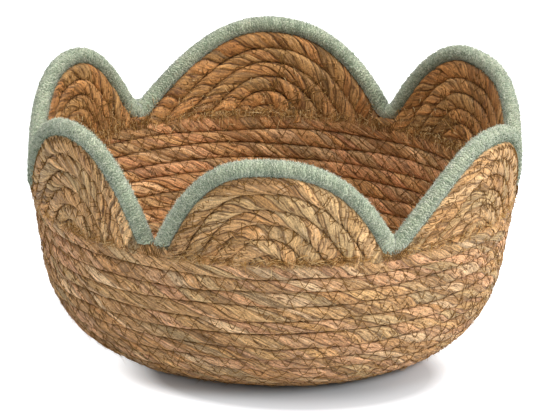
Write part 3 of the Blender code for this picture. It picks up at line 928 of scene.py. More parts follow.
# %% Yarn round the rim
STRAND_ROWS = (3, 7)          # a strand is 3 to 6 rows wide
STRAND_LIFT, STRAND_HIGH, STRAND_LOW = 0.12, 0.55, 0.28    # mm
YARN_UNDER = 0.5 * MM         # the strands' middle lies this far inside the rim's outline
SQUEEZE_NEAR, SQUEEZE_WIDTH, PLANE_NEAR = 15 * MM, 4.5 * MM, 20 * MM
YARN_ROWS_BEFORE = 0.02


def pressed(places, distance):
    """Keep the yarn on its own side of a notch's middle plane, and above the top course."""
    past, across, number = at_notches(places)
    side = np.where(distance >= 0, 1.0, -1.0)
    wrong = np.where(np.abs(distance) < PLANE_NEAR, np.minimum(past * side - 0.05 * MM, 0.0), 0.0)
    places = places - (wrong * side)[:, None] * across
    azimuth = np.arctan2(places[:, 0], -places[:, 1])
    low = seat(azimuth) + np.where(np.abs(azimuth - FIRST_NOTCH) < 0.12, END_ABOVE, -YARN_SINK)
    places[:, 2] = np.maximum(places[:, 2], low)
    return places


def yarn_binding(name, seed):
    """Closed tube with one low ridge per strand, over the whole rim."""
    lay = YARN_SHIFT * YARN_STEP
    count = int((RIM_LENGTH + 4 * lay + 2 * YARN_ROWS_BEFORE) / YARN_STEP)
    random = np.random.default_rng(seed)
    wrap, share, wraps = strips(random, *STRAND_ROWS, count)
    lift = random.uniform(-STRAND_LIFT, STRAND_LIFT, wraps)[wrap] * MM
    ridge = lift + (STRAND_HIGH * (1 - (2 * share - 1) ** 2) - STRAND_LOW) * MM
    grid_rows = YARN_STEP * np.arange(count) - YARN_ROWS_BEFORE

    def point(row, angle):
        """Places on the yarn at rows and angles: in Vs, and squeezed together in the notches."""
        s = row - angle * lay / math.tau
        turn = (angle / math.tau * CHEVRONS) % 1.0
        s = s + CHEVRON_DEPTH * np.abs(2 * turn - 1) * (0.8 + 0.2 * wave(row / (30 * MM), seed + 1))
        centre, out, up, distance = rim_frame(s)
        near = np.where(np.abs(distance) < SQUEEZE_NEAR, np.exp(-(distance / SQUEEZE_WIDTH) ** 2), 0.0)
        depth = (centre[:, 2] - seat(np.arctan2(centre[:, 0], -centre[:, 1]))) / RIM_R
        number = at_notches(centre)[2]
        above = np.where(number == FULL_NOTCH, 0.9, NOTCH_TALL)
        below = np.where(number == SAGGING_NOTCH, depth - 0.7, 0.0)
        tall = 1 + near * np.where(np.sin(angle) > 0, above, below)
        swell = 1 + 0.02 * wave(s / (14 * MM), seed + 2)
        rough = np.interp(row, grid_rows, ridge)
        rough = rough * (0.75 + 0.4 * waves(row / (2 * MM), angle * 2.5 + 60, seed + 3))
        radius = (RIM_R - YARN_UNDER) * swell + rough
        places = (centre + (radius * np.cos(angle))[:, None] * out
                  + (radius * tall * np.sin(angle))[:, None] * up)
        return pressed(places, distance)

    start, stop = foot_lengths(rim_frame, RIM_LENGTH, RIM_R, YARN_COLUMNS, -END_ABOVE)
    places, triangles, row, angle = wound_grid(count - 4, YARN_COLUMNS, YARN_STEP, YARN_SHIFT,
                                               -YARN_ROWS_BEFORE, start, stop, point)
    number = np.clip(((row.mean(axis=1) + YARN_ROWS_BEFORE) / YARN_STEP).astype(int), 0, count - 1)
    near = np.clip(((row + YARN_ROWS_BEFORE) / YARN_STEP).round().astype(int), 0, count - 1)
    tones = random.uniform(0.0, 1.0, (wrap.max() + 1, 2))
    own = np.repeat(tones[wrap[number]][:, None, :], 3, axis=1)
    # Painted shade between the strands: 1 on the first row of each strand.
    groove = np.where(share[near] == 0, 1.0, 0.0)[..., None]
    tone = np.concatenate([own, groove, own[..., :1]], axis=-1)
    return mesh_object(name, places, triangles, {"tone": tone})


yarn_pieces = []
dress(yarn_binding("rim_yarn_binding", 3000), "rim_yarn", yarn_pieces, "rim_binding_yarn", "rim_core_rope")

# %% [markdown]
# ## Thread
# The thread follows the zigzag that made the dents. It dips into each groove, and its tips show as
# small teeth on the courses above and below. A bevelled curve could follow that line, but a
# four-sided tube worked out as one array is lighter, and it can lie exactly on the swelling rope.

# %% Tubes of thread
def thread_tube(strands, radius):
    """Four-sided tubes along several lines of points, each with its directions out of the wall."""
    all_places, all_triangles, start = [], [], 0
    for points, outs in strands:
        along = unit(np.gradient(points, axis=0))
        outs = unit(outs - (outs * along).sum(-1, keepdims=True) * along)
        sides = np.cross(along, outs)
        ring = [points + radius * way for way in (outs, sides, -outs, -sides)]
        places = np.stack(ring, axis=1).reshape(-1, 3)
        count = len(points)
        a = (np.arange(count - 1)[:, None] * 4 + np.arange(4)[None, :]).ravel()
        b = (np.arange(count - 1)[:, None] * 4 + (np.arange(4)[None, :] + 1) % 4).ravel()
        faces = np.concatenate([np.stack([a, b, b + 4], -1), np.stack([a, b + 4, a + 4], -1)])
        last = 4 * (count - 1)
        caps = np.array([[0, 2, 1], [0, 3, 2], [last, last + 1, last + 2], [last, last + 2, last + 3]])
        all_places.append(places)
        all_triangles.append(np.concatenate([faces, caps]) + start)
        start += len(places)
    return np.concatenate(all_places), np.concatenate(all_triangles)


def on_rope(across, half_out, half_up):
    """Height of two touching ropes' surface above their middle, at a distance from their groove."""
    off = np.abs(half_up - np.abs(across)) / (half_up * 1.06)
    height = half_out * np.clip(1 - off ** 3, 0.0, 1.0) ** (1 / 3)
    return np.maximum(height, half_out * 0.72)


def raised(points, outs, side, height):
    """Points at a height above the middle of the wall on one face, and the directions out of it."""
    return points + (side * height)[:, None] * outs, side * outs


THREAD_R, THREAD_ABOVE = 0.23 * MM, 0.12 * MM
THREAD_STEP = 1.0 * MM


def coil_stitches(name, begin, end, side):
    """Thread over the grooves of one length of rope, outside (side 1) or inside (side -1)."""
    s = np.arange(begin, end, THREAD_STEP)
    across = teeth(s, 4000 + side, STITCH, STITCH_REACH)
    azimuth = np.interp(s, COIL_S, COIL_AZIMUTHS)
    r, z, slope = profile(coil_length(azimuth) + ROPE_STEP / 2 + groove_shift(s) + across)
    height = on_rope(across, COIL_SIZE[0], ROPE_STEP / 2) + THREAD_ABOVE
    points, outs = raised(place(azimuth, r, z), place(azimuth, np.sin(slope), -np.cos(slope)), side, height)
    points[:, 2] = np.maximum(points[:, 2], THREAD_R)
    return mesh_object(name, *thread_tube([(points, outs)], THREAD_R), {})


thread_pieces = []
for (node, limit), begin, end in zip(COIL_PARTS, partings, partings[1:]):
    for side, label in ((1, "outside"), (-1, "inside")):
        dress(coil_stitches("%s_thread_%s" % (node, label), max(begin, FIRST_STITCH),
                            min(end, LAST_GROOVE), side), "sewing_thread", thread_pieces)

# %% [markdown]
# The scallops are sewn the same way along the grooves between their arches, and again in a few lines
# that run from the rim to the middle and hold the arches flat.

# %% Thread on the scallops
RADIAL_LINES = 7
RADIAL_SHARES = (0.12, 0.88)  # where along the arches these lines lie
RADIAL_START, RADIAL_SWAY, RADIAL_WAVE = 0.4, 0.03, 7 * MM
PETAL_THREAD_R, PETAL_THREAD_ABOVE = 0.25 * MM, 0.42 * MM
PETAL_STITCH, PETAL_REACH = 9.5 * MM, 3.6 * MM
NOTCH_STITCHES = 11


def petal_point(index, part, share):
    """Middle of the scallop's thickness and the direction out of it; share runs along the arches."""
    azimuth, r, z = arch_line(index, part, share)
    return place(azimuth, r, z), outward(azimuth)


def petal_strands(index, side, seed):
    """Lines of thread on one face of a scallop: a zigzag in each groove, and lines across them.

    Groove -1 is the one between the rim and the outermost arch. There the teeth only point inwards.
    """
    gaps = ARCHES - 1
    step = (arch_line(index, 0.0)[2].max() - arch_line(index, 1.0)[2].max()) / gaps
    half_out = min(step / 2, ARCH_OUT)
    strands = []
    for groove in range(-1, gaps):
        part = max((groove + 0.5) / gaps, -0.02 / gaps)
        length = lengths_along(petal_point(index, np.full(400, part), np.linspace(0.02, 0.98, 400))[0])[-1]
        s = np.arange(0.0, length, THREAD_STEP)
        across = teeth(s, seed + 7 * groove, PETAL_STITCH, PETAL_REACH)
        if groove < 0:
            part, across = -0.5 / gaps, np.abs(across) * 1.2
        points, outs = petal_point(index, part + across / step / gaps, 0.02 + 0.96 * s / length)
        strands.append(raised(points, outs, side, on_rope(across, half_out, step / 2) + PETAL_THREAD_ABOVE))
    for number, share in enumerate(np.random.default_rng(seed).uniform(*RADIAL_SHARES, RADIAL_LINES)):
        s = np.arange(0.0, step * (gaps + RADIAL_START), THREAD_STEP)
        sway = RADIAL_SWAY * wave(s / RADIAL_WAVE, seed + 50 + number)
        points, outs = petal_point(index, (s / step - RADIAL_START) / gaps, share + sway)
        from_groove = (s / step - RADIAL_START + 0.5) % 1.0 * step
        from_groove = np.minimum(from_groove, step - from_groove)
        height = on_rope(from_groove, half_out, step / 2) + PETAL_THREAD_ABOVE
        strands.append(raised(points, outs, side, height))
    return strands


def notch_stitches(index, side, seed):
    """Short stitches that fan out from the top course over the lower edge of the rim in a notch."""
    random = np.random.default_rng(seed)
    share = np.linspace(0.0, 1.0, 7)
    fan = np.linspace(-1.0, 1.0, NOTCH_STITCHES) + random.uniform(-0.06, 0.06, NOTCH_STITCHES)
    strands = []
    for spread in fan:
        azimuth = NOTCHES[index] + (5.0 + 4.5 * share) * spread * MM / RIM_NOTCH_R
        rise = (-3.0 + (6.5 + random.uniform(-1.5, 1.5)) * share + 2.5 * share * spread ** 2) * MM
        rise = rise + END_ABOVE * (0.3 + 0.4 * share) * (index == 0)
        z = seat(azimuth) + rise
        off = (5.1 + 0.9 * ease(share)) * MM
        strands.append((place(azimuth, petal_radius(azimuth, z) + side * off, z), side * outward(azimuth)))
    return strands


for side, label in ((1, "outside"), (-1, "inside")):
    strands = []
    for index in range(len(PETALS)):
        strands += petal_strands(index, side, 5000 + 100 * index + 10 * side)
        strands += notch_stitches(index, side, 5700 + 10 * index + side)
    piece = mesh_object("petal_thread_" + label, *thread_tube(strands, PETAL_THREAD_R), {})
    dress(piece, "sewing_thread", thread_pieces)

# %% [markdown]
# ## Loose fibre
# Dry leaf splits. The cut feet of the arches end in strips and fluff along the top course, stray
# fibres stand off the rope, and the yarn has a nap. Blender's hair would do this too, but the
# exported meshes need solid fibres, so each is a slim three-sided spike. The longer ones are bent,
# and the nap's are straight.

# %% Spikes
def spikes(roots, directions, bends, lengths, widths, flatness, segments, painted_light=0.0):
    """Many tapering spikes: root + t L d + t^2 L b for t from 0 to 1, three-sided, closed.

    None goes below the table. The last argument, painted light and shade as a change of tone, is added to
    each one's random tone.
    """
    count = len(roots)
    t = np.linspace(0.0, 1.0, segments + 1)[:-1]
    reach = lengths[:, None, None]
    centres = roots[:, None, :] + reach * (t[None, :, None] * directions[:, None, :]
                                           + t[None, :, None] ** 2 * bends[:, None, :])
    tips = roots + lengths[:, None] * (directions + bends)
    first = unit(np.cross(directions, [0.31, 0.52, 0.79]))
    second = np.cross(directions, first)
    sizes = widths[:, None] * (1 - 0.75 * t[None, :])
    corners = []
    for angle in (0.0, math.tau / 3, math.tau * 2 / 3):
        side = math.cos(angle) * first[:, None, :] + flatness * math.sin(angle) * second[:, None, :]
        corners.append(centres + sizes[..., None] * side)
    rings = np.stack(corners, axis=2).reshape(count, segments * 3, 3)
    places = np.concatenate([rings, tips[:, None, :]], axis=1)
    places[..., 2] = np.maximum(places[..., 2], 0.0)
    faces = [[0, 2, 1]]
    for ring in range(segments - 1):
        for corner in range(3):
            a, b = 3 * ring + corner, 3 * ring + (corner + 1) % 3
            faces += [[a, b, b + 3], [a, b + 3, a + 3]]
    last = 3 * (segments - 1)
    faces += [[last + corner, last + (corner + 1) % 3, 3 * segments] for corner in range(3)]
    faces = np.array(faces)
    triangles = (faces[None] + (np.arange(count) * (3 * segments + 1))[:, None, None]).reshape(-1, 3)
    values = np.random.default_rng(count).uniform(0.0, 1.0, (count, 2))
    # Painted light and shade added to the random tone.
    values[:, 0] = np.clip(values[:, 0] + painted_light, 0.0, 1.0)
    own = np.repeat(values, len(faces), axis=0)[:, None, :] * np.ones((1, 3, 1))
    tone = np.concatenate([own, np.zeros_like(own[..., :1]), np.ones_like(own[..., :1])], -1)
    return places.reshape(-1, 3), triangles, {"tone": tone}


# %% [markdown]
# The nap is on the yarn all round, with painted light on its upper side and painted shade on its
# lower side, but not in the notches, where the strands are squeezed together.

# %% Nap on the yarn
NAP_COUNT = 44000
NAP_ROOT = 0.45 * MM          # the roots lie this far inside the rim's outline
NAP_LENGTHS, NAP_WIDTHS = (1.0, 2.1), (0.11, 0.24)     # mm
NAP_OUT, NAP_ALONG, NAP_AROUND = 0.75, 0.6, 0.8
# Painted light on the nap's upper side, and painted shade taken off all of it.
NAP_PAINTED_LIGHT, NAP_PAINTED_SHADE = 0.24, 0.04


def yarn_nap(count, seed):
    """Short spikes all over the yarn, each leaning its own way."""
    random = np.random.default_rng(seed)
    s = random.uniform(2 * MM, RIM_LENGTH - 2 * MM, count)
    angle = random.uniform(0.0, math.tau, count)
    centre, out, up, distance = rim_frame(s)
    along = np.cross(up, out)
    away = np.cos(angle)[:, None] * out + np.sin(angle)[:, None] * up
    around = np.cos(angle)[:, None] * up - np.sin(angle)[:, None] * out
    keep = np.abs(distance) > 6 * MM
    roots = centre + (RIM_R - NAP_ROOT) * away
    lean = random.normal(0.0, 1.0, (count, 2))
    directions = unit(NAP_OUT * away + NAP_ALONG * lean[:, :1] * along + NAP_AROUND * lean[:, 1:] * around)
    bends = 0.25 * unit(random.normal(0.0, 1.0, (count, 3)))
    lengths, widths = (random.uniform(*limits, count) * MM for limits in (NAP_LENGTHS, NAP_WIDTHS))
    # The nap's tone carries painted light above and painted shade below.
    return spikes(*(values[keep] for values in (roots, directions, bends, lengths, widths)), 1.0, 1,
                  NAP_PAINTED_LIGHT * np.sin(angle[keep]) - NAP_PAINTED_SHADE)


nap_pieces = []
dress(mesh_object("rim_yarn_nap", *yarn_nap(NAP_COUNT, 6000), smooth=False), "rim_yarn", nap_pieces)

# %% [markdown]
# Three kinds of loose leaf are on each face of the basket: fluff at the scallops' feet, flat cut ends
# that stick out of the seam, and hairs that stand off the wall. Outside, the fluff comes in tufts, and
# inside it is an even fringe. Each kind draws its own random places, directions and lengths.

# %% Fluff, strips and hairs
FOOT_FIBRES = {"outside": 4200, "inside": 11000}
STRIPS = {"outside": 420, "inside": 300}
WALL_HAIRS = 5000
AT_FEET, FOOT_BAND = 0.7, (-1.0, 4.5)         # share of the fluff at the feet, and mm above the course
FACE_BAND, FACE_ROUND = 30.0, 34.0            # the rest reach up the face, mm
FRONT_STRIPS, FRONT_PART = 0.35, (0.5, 0.86)  # so many of the strips lie on this part of the front scallop
STRIP_FLAT = 0.25
UP = np.array([0.0, 0.0, 1.0])


def between_notches(index, share):
    """Azimuth at a share of the way between a scallop's two notches."""
    notches = np.array(NOTCHES)
    return notches[index] + (notches[index + 1] - notches[index]) * share


def on_face(azimuth, rise, side, off, random):
    """Roots on one face of the scallops, with the directions out of the wall and round it."""
    z = seat(azimuth) + rise
    roots = place(azimuth, petal_radius(azimuth, z) + side * random.uniform(*off, len(azimuth)) * MM, z)
    return roots, outward(azimuth), outward(azimuth + math.pi / 2)


def hair_lengths(random, count, low, high, more):
    """Lengths of hairs from low to high, with a few longer by up to more."""
    return (random.uniform(low, high, count) + more * random.uniform(0.0, 1.0, count) ** 12) * MM


def foot_fibres(count, side, seed):
    """Fluff on the scallops on one face of the wall: most at the cut feet, the rest up the middle."""
    random = np.random.default_rng(seed)
    index = random.integers(0, len(PETALS), count)
    up = np.where(random.uniform(0.0, 1.0, count) < AT_FEET, random.uniform(*FOOT_BAND, count),
                  FACE_BAND * random.beta(1.2, 2.2, count))
    spread = 0.49 * np.sqrt(np.clip(1 - (up / FACE_ROUND) ** 2, 0.0, 1.0))
    azimuth = between_notches(index, 0.5 + spread * random.uniform(-1.0, 1.0, count))
    tuft = wave(azimuth * RIM_NOTCH_R / (6 * MM), seed + 1) > random.uniform(-1.0, 0.7, count)
    azimuth, up = azimuth[tuft | (side < 0)], up[tuft | (side < 0)]
    count = len(azimuth)
    roots, out, round_wall = on_face(azimuth, up * MM, side, (3.6, 4.8), random)
    lean = random.normal(0.0, 1.0, (count, 3))
    directions = unit(side * 0.30 * out + 0.8 * lean[:, :1] * round_wall + (lean[:, 1:2] * 0.6 - 0.35) * UP)
    lengths = hair_lengths(random, count, 2.0, 6.5, 7.0)
    widths = random.uniform(0.10, 0.28, count) * MM
    return spikes(roots, directions, 0.45 * unit(lean), lengths, widths, 1.0, 3)


def cut_strips(count, side, seed):
    """Flat ends of cut leaf that stick out of the seam on one face, closest together right of the front."""
    random = np.random.default_rng(seed)
    front = random.uniform(0.0, 1.0, count) < FRONT_STRIPS
    index = np.where(front, 0, random.integers(0, len(PETALS), count))
    share = np.where(front, random.uniform(*FRONT_PART, count), random.uniform(0.1, 0.9, count))
    azimuth = between_notches(index, share)
    rise = random.uniform(-0.5, 3.0, count) * MM
    roots, out, round_wall = on_face(azimuth, rise, side, (3.9, 4.7), random)
    lean = random.normal(0.0, 1.0, (count, 3))
    directions = unit(side * 0.22 * out + 0.9 * np.sign(lean[:, :1]) * round_wall
                      + (0.35 * lean[:, 1:2] - 0.25) * UP)
    lengths, widths = (random.uniform(*limits, count) * MM for limits in ((3.5, 8.5), (0.35, 0.8)))
    return spikes(roots, directions, 0.25 * unit(lean), lengths, widths, STRIP_FLAT, 3)


def coil_fibres(count, side, seed):
    """Hairs that stand off the rope of the wall, mostly along its leaves, on one face."""
    random = np.random.default_rng(seed)
    s = np.interp(random.uniform(BASE_R, BASE_R + WALL_LENGTH, count), coil_length(COIL_AZIMUTHS), COIL_S)
    s = np.minimum(s + random.uniform(0.0, 900.0, count) * MM, COIL_S[-1] - 30 * MM)
    centre, out, up, scale = coil_frame(np.interp(s, COIL_S, COIL_AZIMUTHS))
    along = np.cross(up, out)
    across = random.uniform(-4.4, 4.4, count) * MM
    height = on_rope(ROPE_STEP / 2 - np.abs(across), COIL_SIZE[0], ROPE_STEP / 2) + 0.1 * MM
    roots = raised(centre, out, side, height)[0] + across[:, None] * up
    lean = random.normal(0.0, 1.0, (count, 3))
    directions = unit(side * (0.12 + 0.16 * np.abs(lean[:, :1])) * out
                      + along * np.sign(lean[:, 1:2] + 0.3) + 0.55 * lean[:, 2:] * up)
    lengths = hair_lengths(random, count, 2.5, 8.0, 6.0)
    widths = random.uniform(0.07, 0.18, count) * MM
    return spikes(roots, directions, 0.30 * unit(lean), lengths, widths, 1.0, 3)


fray_pieces = []
for side, label in ((1, "outside"), (-1, "inside")):
    for name, made in (("petal_fluff_", foot_fibres(FOOT_FIBRES[label], side, 6100 + side)),
                       ("petal_strips_", cut_strips(STRIPS[label], side, 6300 + side)),
                       ("wall_fluff_", coil_fibres(WALL_HAIRS, side, 6200 + side))):
        dress(mesh_object(name + label, *made, smooth=False), "leaf_rope", fray_pieces)

# %% [markdown]
# ## Leaf, yarn and thread up close
# Each finish starts from the values that ride along with the mesh. A leaf has one colour out of a
# small set, streaks that run along it, and a dark line of painted shade where it dives under its
# neighbour. Colours are written as the eye sees them, from 0 to 255, and turned into the linear
# values that light uses.

# %% Helpers for finishes
def seen(red, green, blue):
    """Linear colour for one that is written as it is seen."""
    values = [value / 255 for value in (red, green, blue)]
    return tuple(v / 12.92 if v <= 0.04045 else ((v + 0.055) / 1.055) ** 2.4 for v in values) + (1.0,)


def node(tree, kind, inputs=None, **settings):
    """Shader node with its settings; an input that is a socket is linked, any other is set."""
    made = tree.nodes.new("ShaderNode" + kind)
    for key, value in settings.items():
        setattr(made, key, value)
    for key, value in (inputs or {}).items():
        connect(tree, made.inputs[key], value)
    return made


def connect(tree, socket, value):
    """Link a socket to an input, or set the input's own value."""
    if isinstance(value, bpy.types.NodeSocket):
        tree.links.new(value, socket)
    else:
        socket.default_value = value


def grey(value):
    """Opaque grey of a brightness, which may be above 1 in a factor."""
    return (value, value, value, 1.0)


def ramp(tree, factor, stops, interpolation="LINEAR"):
    """Colour ramp through (position, colour) pairs; a colour may be given as a brightness."""
    made = node(tree, "ValToRGB", {0: factor})
    made.color_ramp.interpolation = interpolation
    elements = made.color_ramp.elements
    while len(elements) < len(stops):
        elements.new(0.5)
    for element, (position, colour) in zip(elements, stops):
        element.position = position
        element.color = grey(colour) if isinstance(colour, float) else seen(*colour)
    return made.outputs[0]


def mix(tree, factor, first, second, mode="MIX"):
    """Blend of two colours."""
    made = node(tree, "Mix", data_type="RGBA", blend_type=mode)
    for socket, value in ((0, factor), (6, first), (7, second)):
        connect(tree, made.inputs[socket], value)
    return made.outputs[2]


def times(tree, base, factor, share=1.0):
    """A colour times a factor, of which a share is taken."""
    return mix(tree, share, base, factor, "MULTIPLY")


def maths(tree, operation, first, second):
    """One Math node."""
    return node(tree, "Math", {0: first, 1: second}, operation=operation).outputs[0]


def stretch(tree, value, to_low, to_high, low=0.0, high=1.0):
    """Stretch a value from low..high to to_low..to_high, and no further."""
    return node(tree, "MapRange", {0: value, 1: low, 2: high, 3: to_low, 4: to_high}).outputs[0]


def noise(tree, vector, scale, detail=3.0, roughness=0.55):
    """Blender's noise, from 0 to 1."""
    return node(tree, "TexNoise", {"Vector": vector, "Scale": scale, "Detail": detail,
                                   "Roughness": roughness}).outputs[0]


def scaled(tree, vector, scale):
    """A vector with each part multiplied."""
    return node(tree, "Mapping", {"Vector": vector, "Scale": scale}).outputs[0]


def object_place(tree):
    """Where a spot lies on the basket, in metres."""
    return node(tree, "TexCoord").outputs["Object"]


def tones(tree):
    """The four values that ride along with the mesh, as red, green, blue and alpha."""
    tone = node(tree, "Attribute", attribute_name="tone").outputs
    return (*node(tree, "SeparateColor", {0: tone["Color"]}).outputs, tone["Alpha"])


def new_finish(name, roughness, specular):
    """Empty material with its tree and its shader."""
    material = bpy.data.materials.new(name)
    material.use_nodes = True
    tree = material.node_tree
    shader = tree.nodes["Principled BSDF"]
    shader.inputs["Roughness"].default_value = roughness
    shader.inputs["Specular IOR Level"].default_value = specular
    return material, tree, shader


# %% [markdown]
# The leaf finish is used twice: for the wall, and for the scallops, whose rope is a little more
# olive. Each leaf takes one colour of the list. Noise drawn out along the leaf gives its streaks,
# slits and scuffs, which are partly painted shade and highlight, and the faces that look to the axis
# are painted browner and darker, as painted shade inside the basket.

# %% Leaf finish
# The crease colour is painted shade: it darkens the leaves' creases and the grooves between courses.
CREASE_SHADE_BROWN, CREASE_SHADE_DEPTH = seen(66, 38, 16), 0.92
# Random dark splits, partly painted shade at the leaves' edges, and random pale scuffs, partly painted
# highlights.
SLIT_AND_SHADE_BROWN = seen(96, 62, 30)
SCUFF_AND_HIGHLIGHT_PALE = seen(226, 196, 158)
# Painted shade inside the basket: the faces that look to the axis are multiplied by these browner, darker
# colours.
WALL_INSIDE_SHADE, PETAL_INSIDE_SHADE = seen(254, 238, 221), seen(232, 213, 187)
WALL_COLOURS = ((198, 150, 100), (206, 154, 112), (186, 152, 108), (206, 158, 100), (190, 138, 86),
                (222, 184, 140), (176, 128, 78), (202, 150, 106), (180, 148, 102), (210, 154, 112),
                (160, 116, 70), (200, 152, 98))
PETAL_COLOURS = ((194, 146, 92), (184, 148, 98), (204, 154, 100), (174, 142, 94), (214, 170, 118),
                 (178, 128, 74), (196, 144, 88), (190, 152, 100), (160, 118, 66))
BLOTCHES = ((0.0, (150, 112, 70)), (0.5, (214, 178, 130)), (1.0, (176, 156, 116)))


def inside_shade_mask(tree):
    """1 where a surface looks to the axis of the basket, 0 where it looks away; it places the painted shade
    inside the basket.
    """
    from_axis = node(tree, "VectorMath", {0: object_place(tree), 1: (1.0, 1.0, 0.0)},
                     operation="MULTIPLY").outputs[0]
    from_axis = node(tree, "VectorMath", {0: from_axis}, operation="NORMALIZE").outputs[0]
    facing = node(tree, "VectorMath", {0: node(tree, "NewGeometry").outputs["True Normal"], 1: from_axis},
                  operation="DOT_PRODUCT").outputs["Value"]
    return stretch(tree, facing, 0.0, 1.0, 0.3, -0.3)


def leaf_finish(name, colours, inside):
    """Dry leaf: colour by leaf, streaks along it, slits and pale scuffs that are partly painted shade and
    highlight, and painted shade in creases, in grooves and on the faces inside the basket.
    """
    material, tree, shader = new_finish(name, 0.62, 0.35)
    leaf, fibre, crease, blotch_tone = tones(tree)
    grain = node(tree, "Attribute", attribute_name="grain").outputs["Vector"]
    streak = noise(tree, scaled(tree, grain, (90.0, 1300.0, 1.0)), 1.0, 4.0, 0.7)
    fine = noise(tree, scaled(tree, grain, (260.0, 3600.0, 1.0)), 1.0, 2.0)
    blotch = noise(tree, scaled(tree, grain, (110.0, 320.0, 1.0)), 1.0, 3.0)
    slit = noise(tree, scaled(tree, grain, (230.0, 1000.0, 3.0)), 1.0, 2.0, 0.5)
    speck = noise(tree, object_place(tree), 900.0, 2.0, 0.7)
    base = ramp(tree, leaf, [(k / len(colours), colour) for k, colour in enumerate(colours)], "CONSTANT")
    base = mix(tree, stretch(tree, blotch, 0.0, 0.55), base, ramp(tree, blotch_tone, BLOTCHES))
    base = times(tree, base, ramp(tree, streak, [(0.30, 0.34), (0.50, 0.96), (0.68, 1.38)]))
    base = times(tree, base, ramp(tree, fine, [(0.3, 0.65), (0.7, 1.3)]), 0.7)
    base = times(tree, base, ramp(tree, fibre, [(0.0, 0.46), (0.5, 0.98), (1.0, 1.34)]))
    base = times(tree, base, ramp(tree, speck, [(0.36, 0.70), (0.50, 1.0), (0.66, 1.22)]))
    # Random dark splits, partly painted shade at leaf edges.
    base = mix(tree, ramp(tree, slit, [(0.35, 0.85), (0.42, 0.0)]), base, SLIT_AND_SHADE_BROWN)
    # Random pale scuffs, partly painted highlights.
    base = mix(tree, ramp(tree, slit, [(0.63, 0.0), (0.72, 0.55)]), base, SCUFF_AND_HIGHLIGHT_PALE)
    # Painted shade in the creases between leaves and in the grooves between courses.
    base = mix(tree, maths(tree, "MULTIPLY", crease, CREASE_SHADE_DEPTH), base, CREASE_SHADE_BROWN)
    # Painted shade: faces inside the basket take the darker, browner inside colour.
    base = mix(tree, inside_shade_mask(tree), base, times(tree, base, inside))
    connect(tree, shader.inputs["Base Color"], base)
    connect(tree, shader.inputs["Roughness"], stretch(tree, streak, 0.48, 0.78))
    bump = node(tree, "Bump", {"Height": maths(tree, "ADD", streak, fine), "Strength": 0.55,
                               "Distance": 0.0003})
    connect(tree, shader.inputs["Normal"], bump.outputs[0])
    return material


# %% [markdown]
# The yarn's green is mottled, with painted shade between the strands, painted light on its upper
# side and painted shade on its lower side. Thread, fluff and nap are too fine for any pattern, so each
# has one ramp of colours: the thread along its length, the fibres by the tone of each, which is
# random, and for the nap also carries painted light and shade.

# %% Yarn, thread and fibre finishes
def lit_above_shaded_below(tree):
    """Factor of painted light and shade for the yarn: lighter on its upper side, darker on its lower side.
    """
    normal = node(tree, "SeparateXYZ", {0: node(tree, "NewGeometry").outputs["True Normal"]}).outputs["Z"]
    return ramp(tree, stretch(tree, normal, 0.0, 1.0, -0.9, 1.0), [(0.0, 0.72), (0.5, 0.95), (1.0, 1.22)])


def yarn_finish():
    """Soft cotton yarn: sage green with painted shade between the strands, painted light above and painted
    shade below, and a sheen that catches the light.
    """
    material, tree, shader = new_finish("sage_yarn", 0.95, 0.15)
    shader.inputs["Sheen Weight"].default_value = 0.6
    shader.inputs["Sheen Roughness"].default_value = 0.5
    strand, strand_too, groove, alpha = tones(tree)
    fluff = noise(tree, object_place(tree), 1100.0, 3.0, 0.7)
    patch = noise(tree, object_place(tree), 60.0, 2.0)
    base = ramp(tree, fluff, [(0.34, (104, 114, 92)), (0.5, (170, 174, 144)), (0.66, (228, 224, 198))])
    base = mix(tree, stretch(tree, patch, 0.0, 0.55), base, seen(132, 162, 138))
    base = times(tree, base, ramp(tree, strand, [(0.0, 0.80), (1.0, 1.12)]))
    # Painted shade between the strands, where the groove value is 1.
    base = mix(tree, maths(tree, "MULTIPLY", groove, 0.6), base, seen(70, 84, 66))
    # Painted light on the yarn's upper side and painted shade on its lower side.
    connect(tree, shader.inputs["Base Color"], times(tree, base, lit_above_shaded_below(tree)))
    bump = node(tree, "Bump", {"Height": fluff, "Strength": 1.0, "Distance": 0.0008})
    connect(tree, shader.inputs["Normal"], bump.outputs[0])
    return material


def fine_finish(name, roughness, specular, factor, stops):
    """One ramp of colours over what factor(tree) gives."""
    material, tree, shader = new_finish(name, roughness, specular)
    connect(tree, shader.inputs["Base Color"], ramp(tree, factor(tree), stops))
    return material


def along_thread(tree):
    """Slow change of tone along the thread."""
    return noise(tree, object_place(tree), 900.0, 2.0)


def own_tone(tree):
    """The random tone of each fibre."""
    return tones(tree)[0]


FINISHES = (
    (leaf_finish("wall_leaf", WALL_COLOURS, WALL_INSIDE_SHADE), leaf_pieces),
    (leaf_finish("petal_leaf", PETAL_COLOURS, PETAL_INSIDE_SHADE), petal_pieces),
    (yarn_finish(), yarn_pieces),
    (fine_finish("yarn_nap", 0.95, 0.15, own_tone, [
        (0.0, (76, 94, 76)), (0.35, (138, 158, 134)), (0.65, (190, 198, 172)), (1.0, (244, 242, 226))]),
     nap_pieces),
    (fine_finish("sewing_thread", 0.8, 0.2, along_thread, [(0.35, (84, 56, 24)), (0.65, (142, 104, 50))]),
     thread_pieces),
    (fine_finish("leaf_fluff", 0.75, 0.25, own_tone, [
        (0.0, (110, 72, 32)), (0.3, (160, 116, 58)), (0.7, (206, 160, 94)), (1.0, (236, 206, 152))]),
     fray_pieces))
for material, pieces in FINISHES:
    for piece in pieces:
        piece.data.materials.append(material)
    print("%s: on %d pieces" % (material.name, len(pieces)))

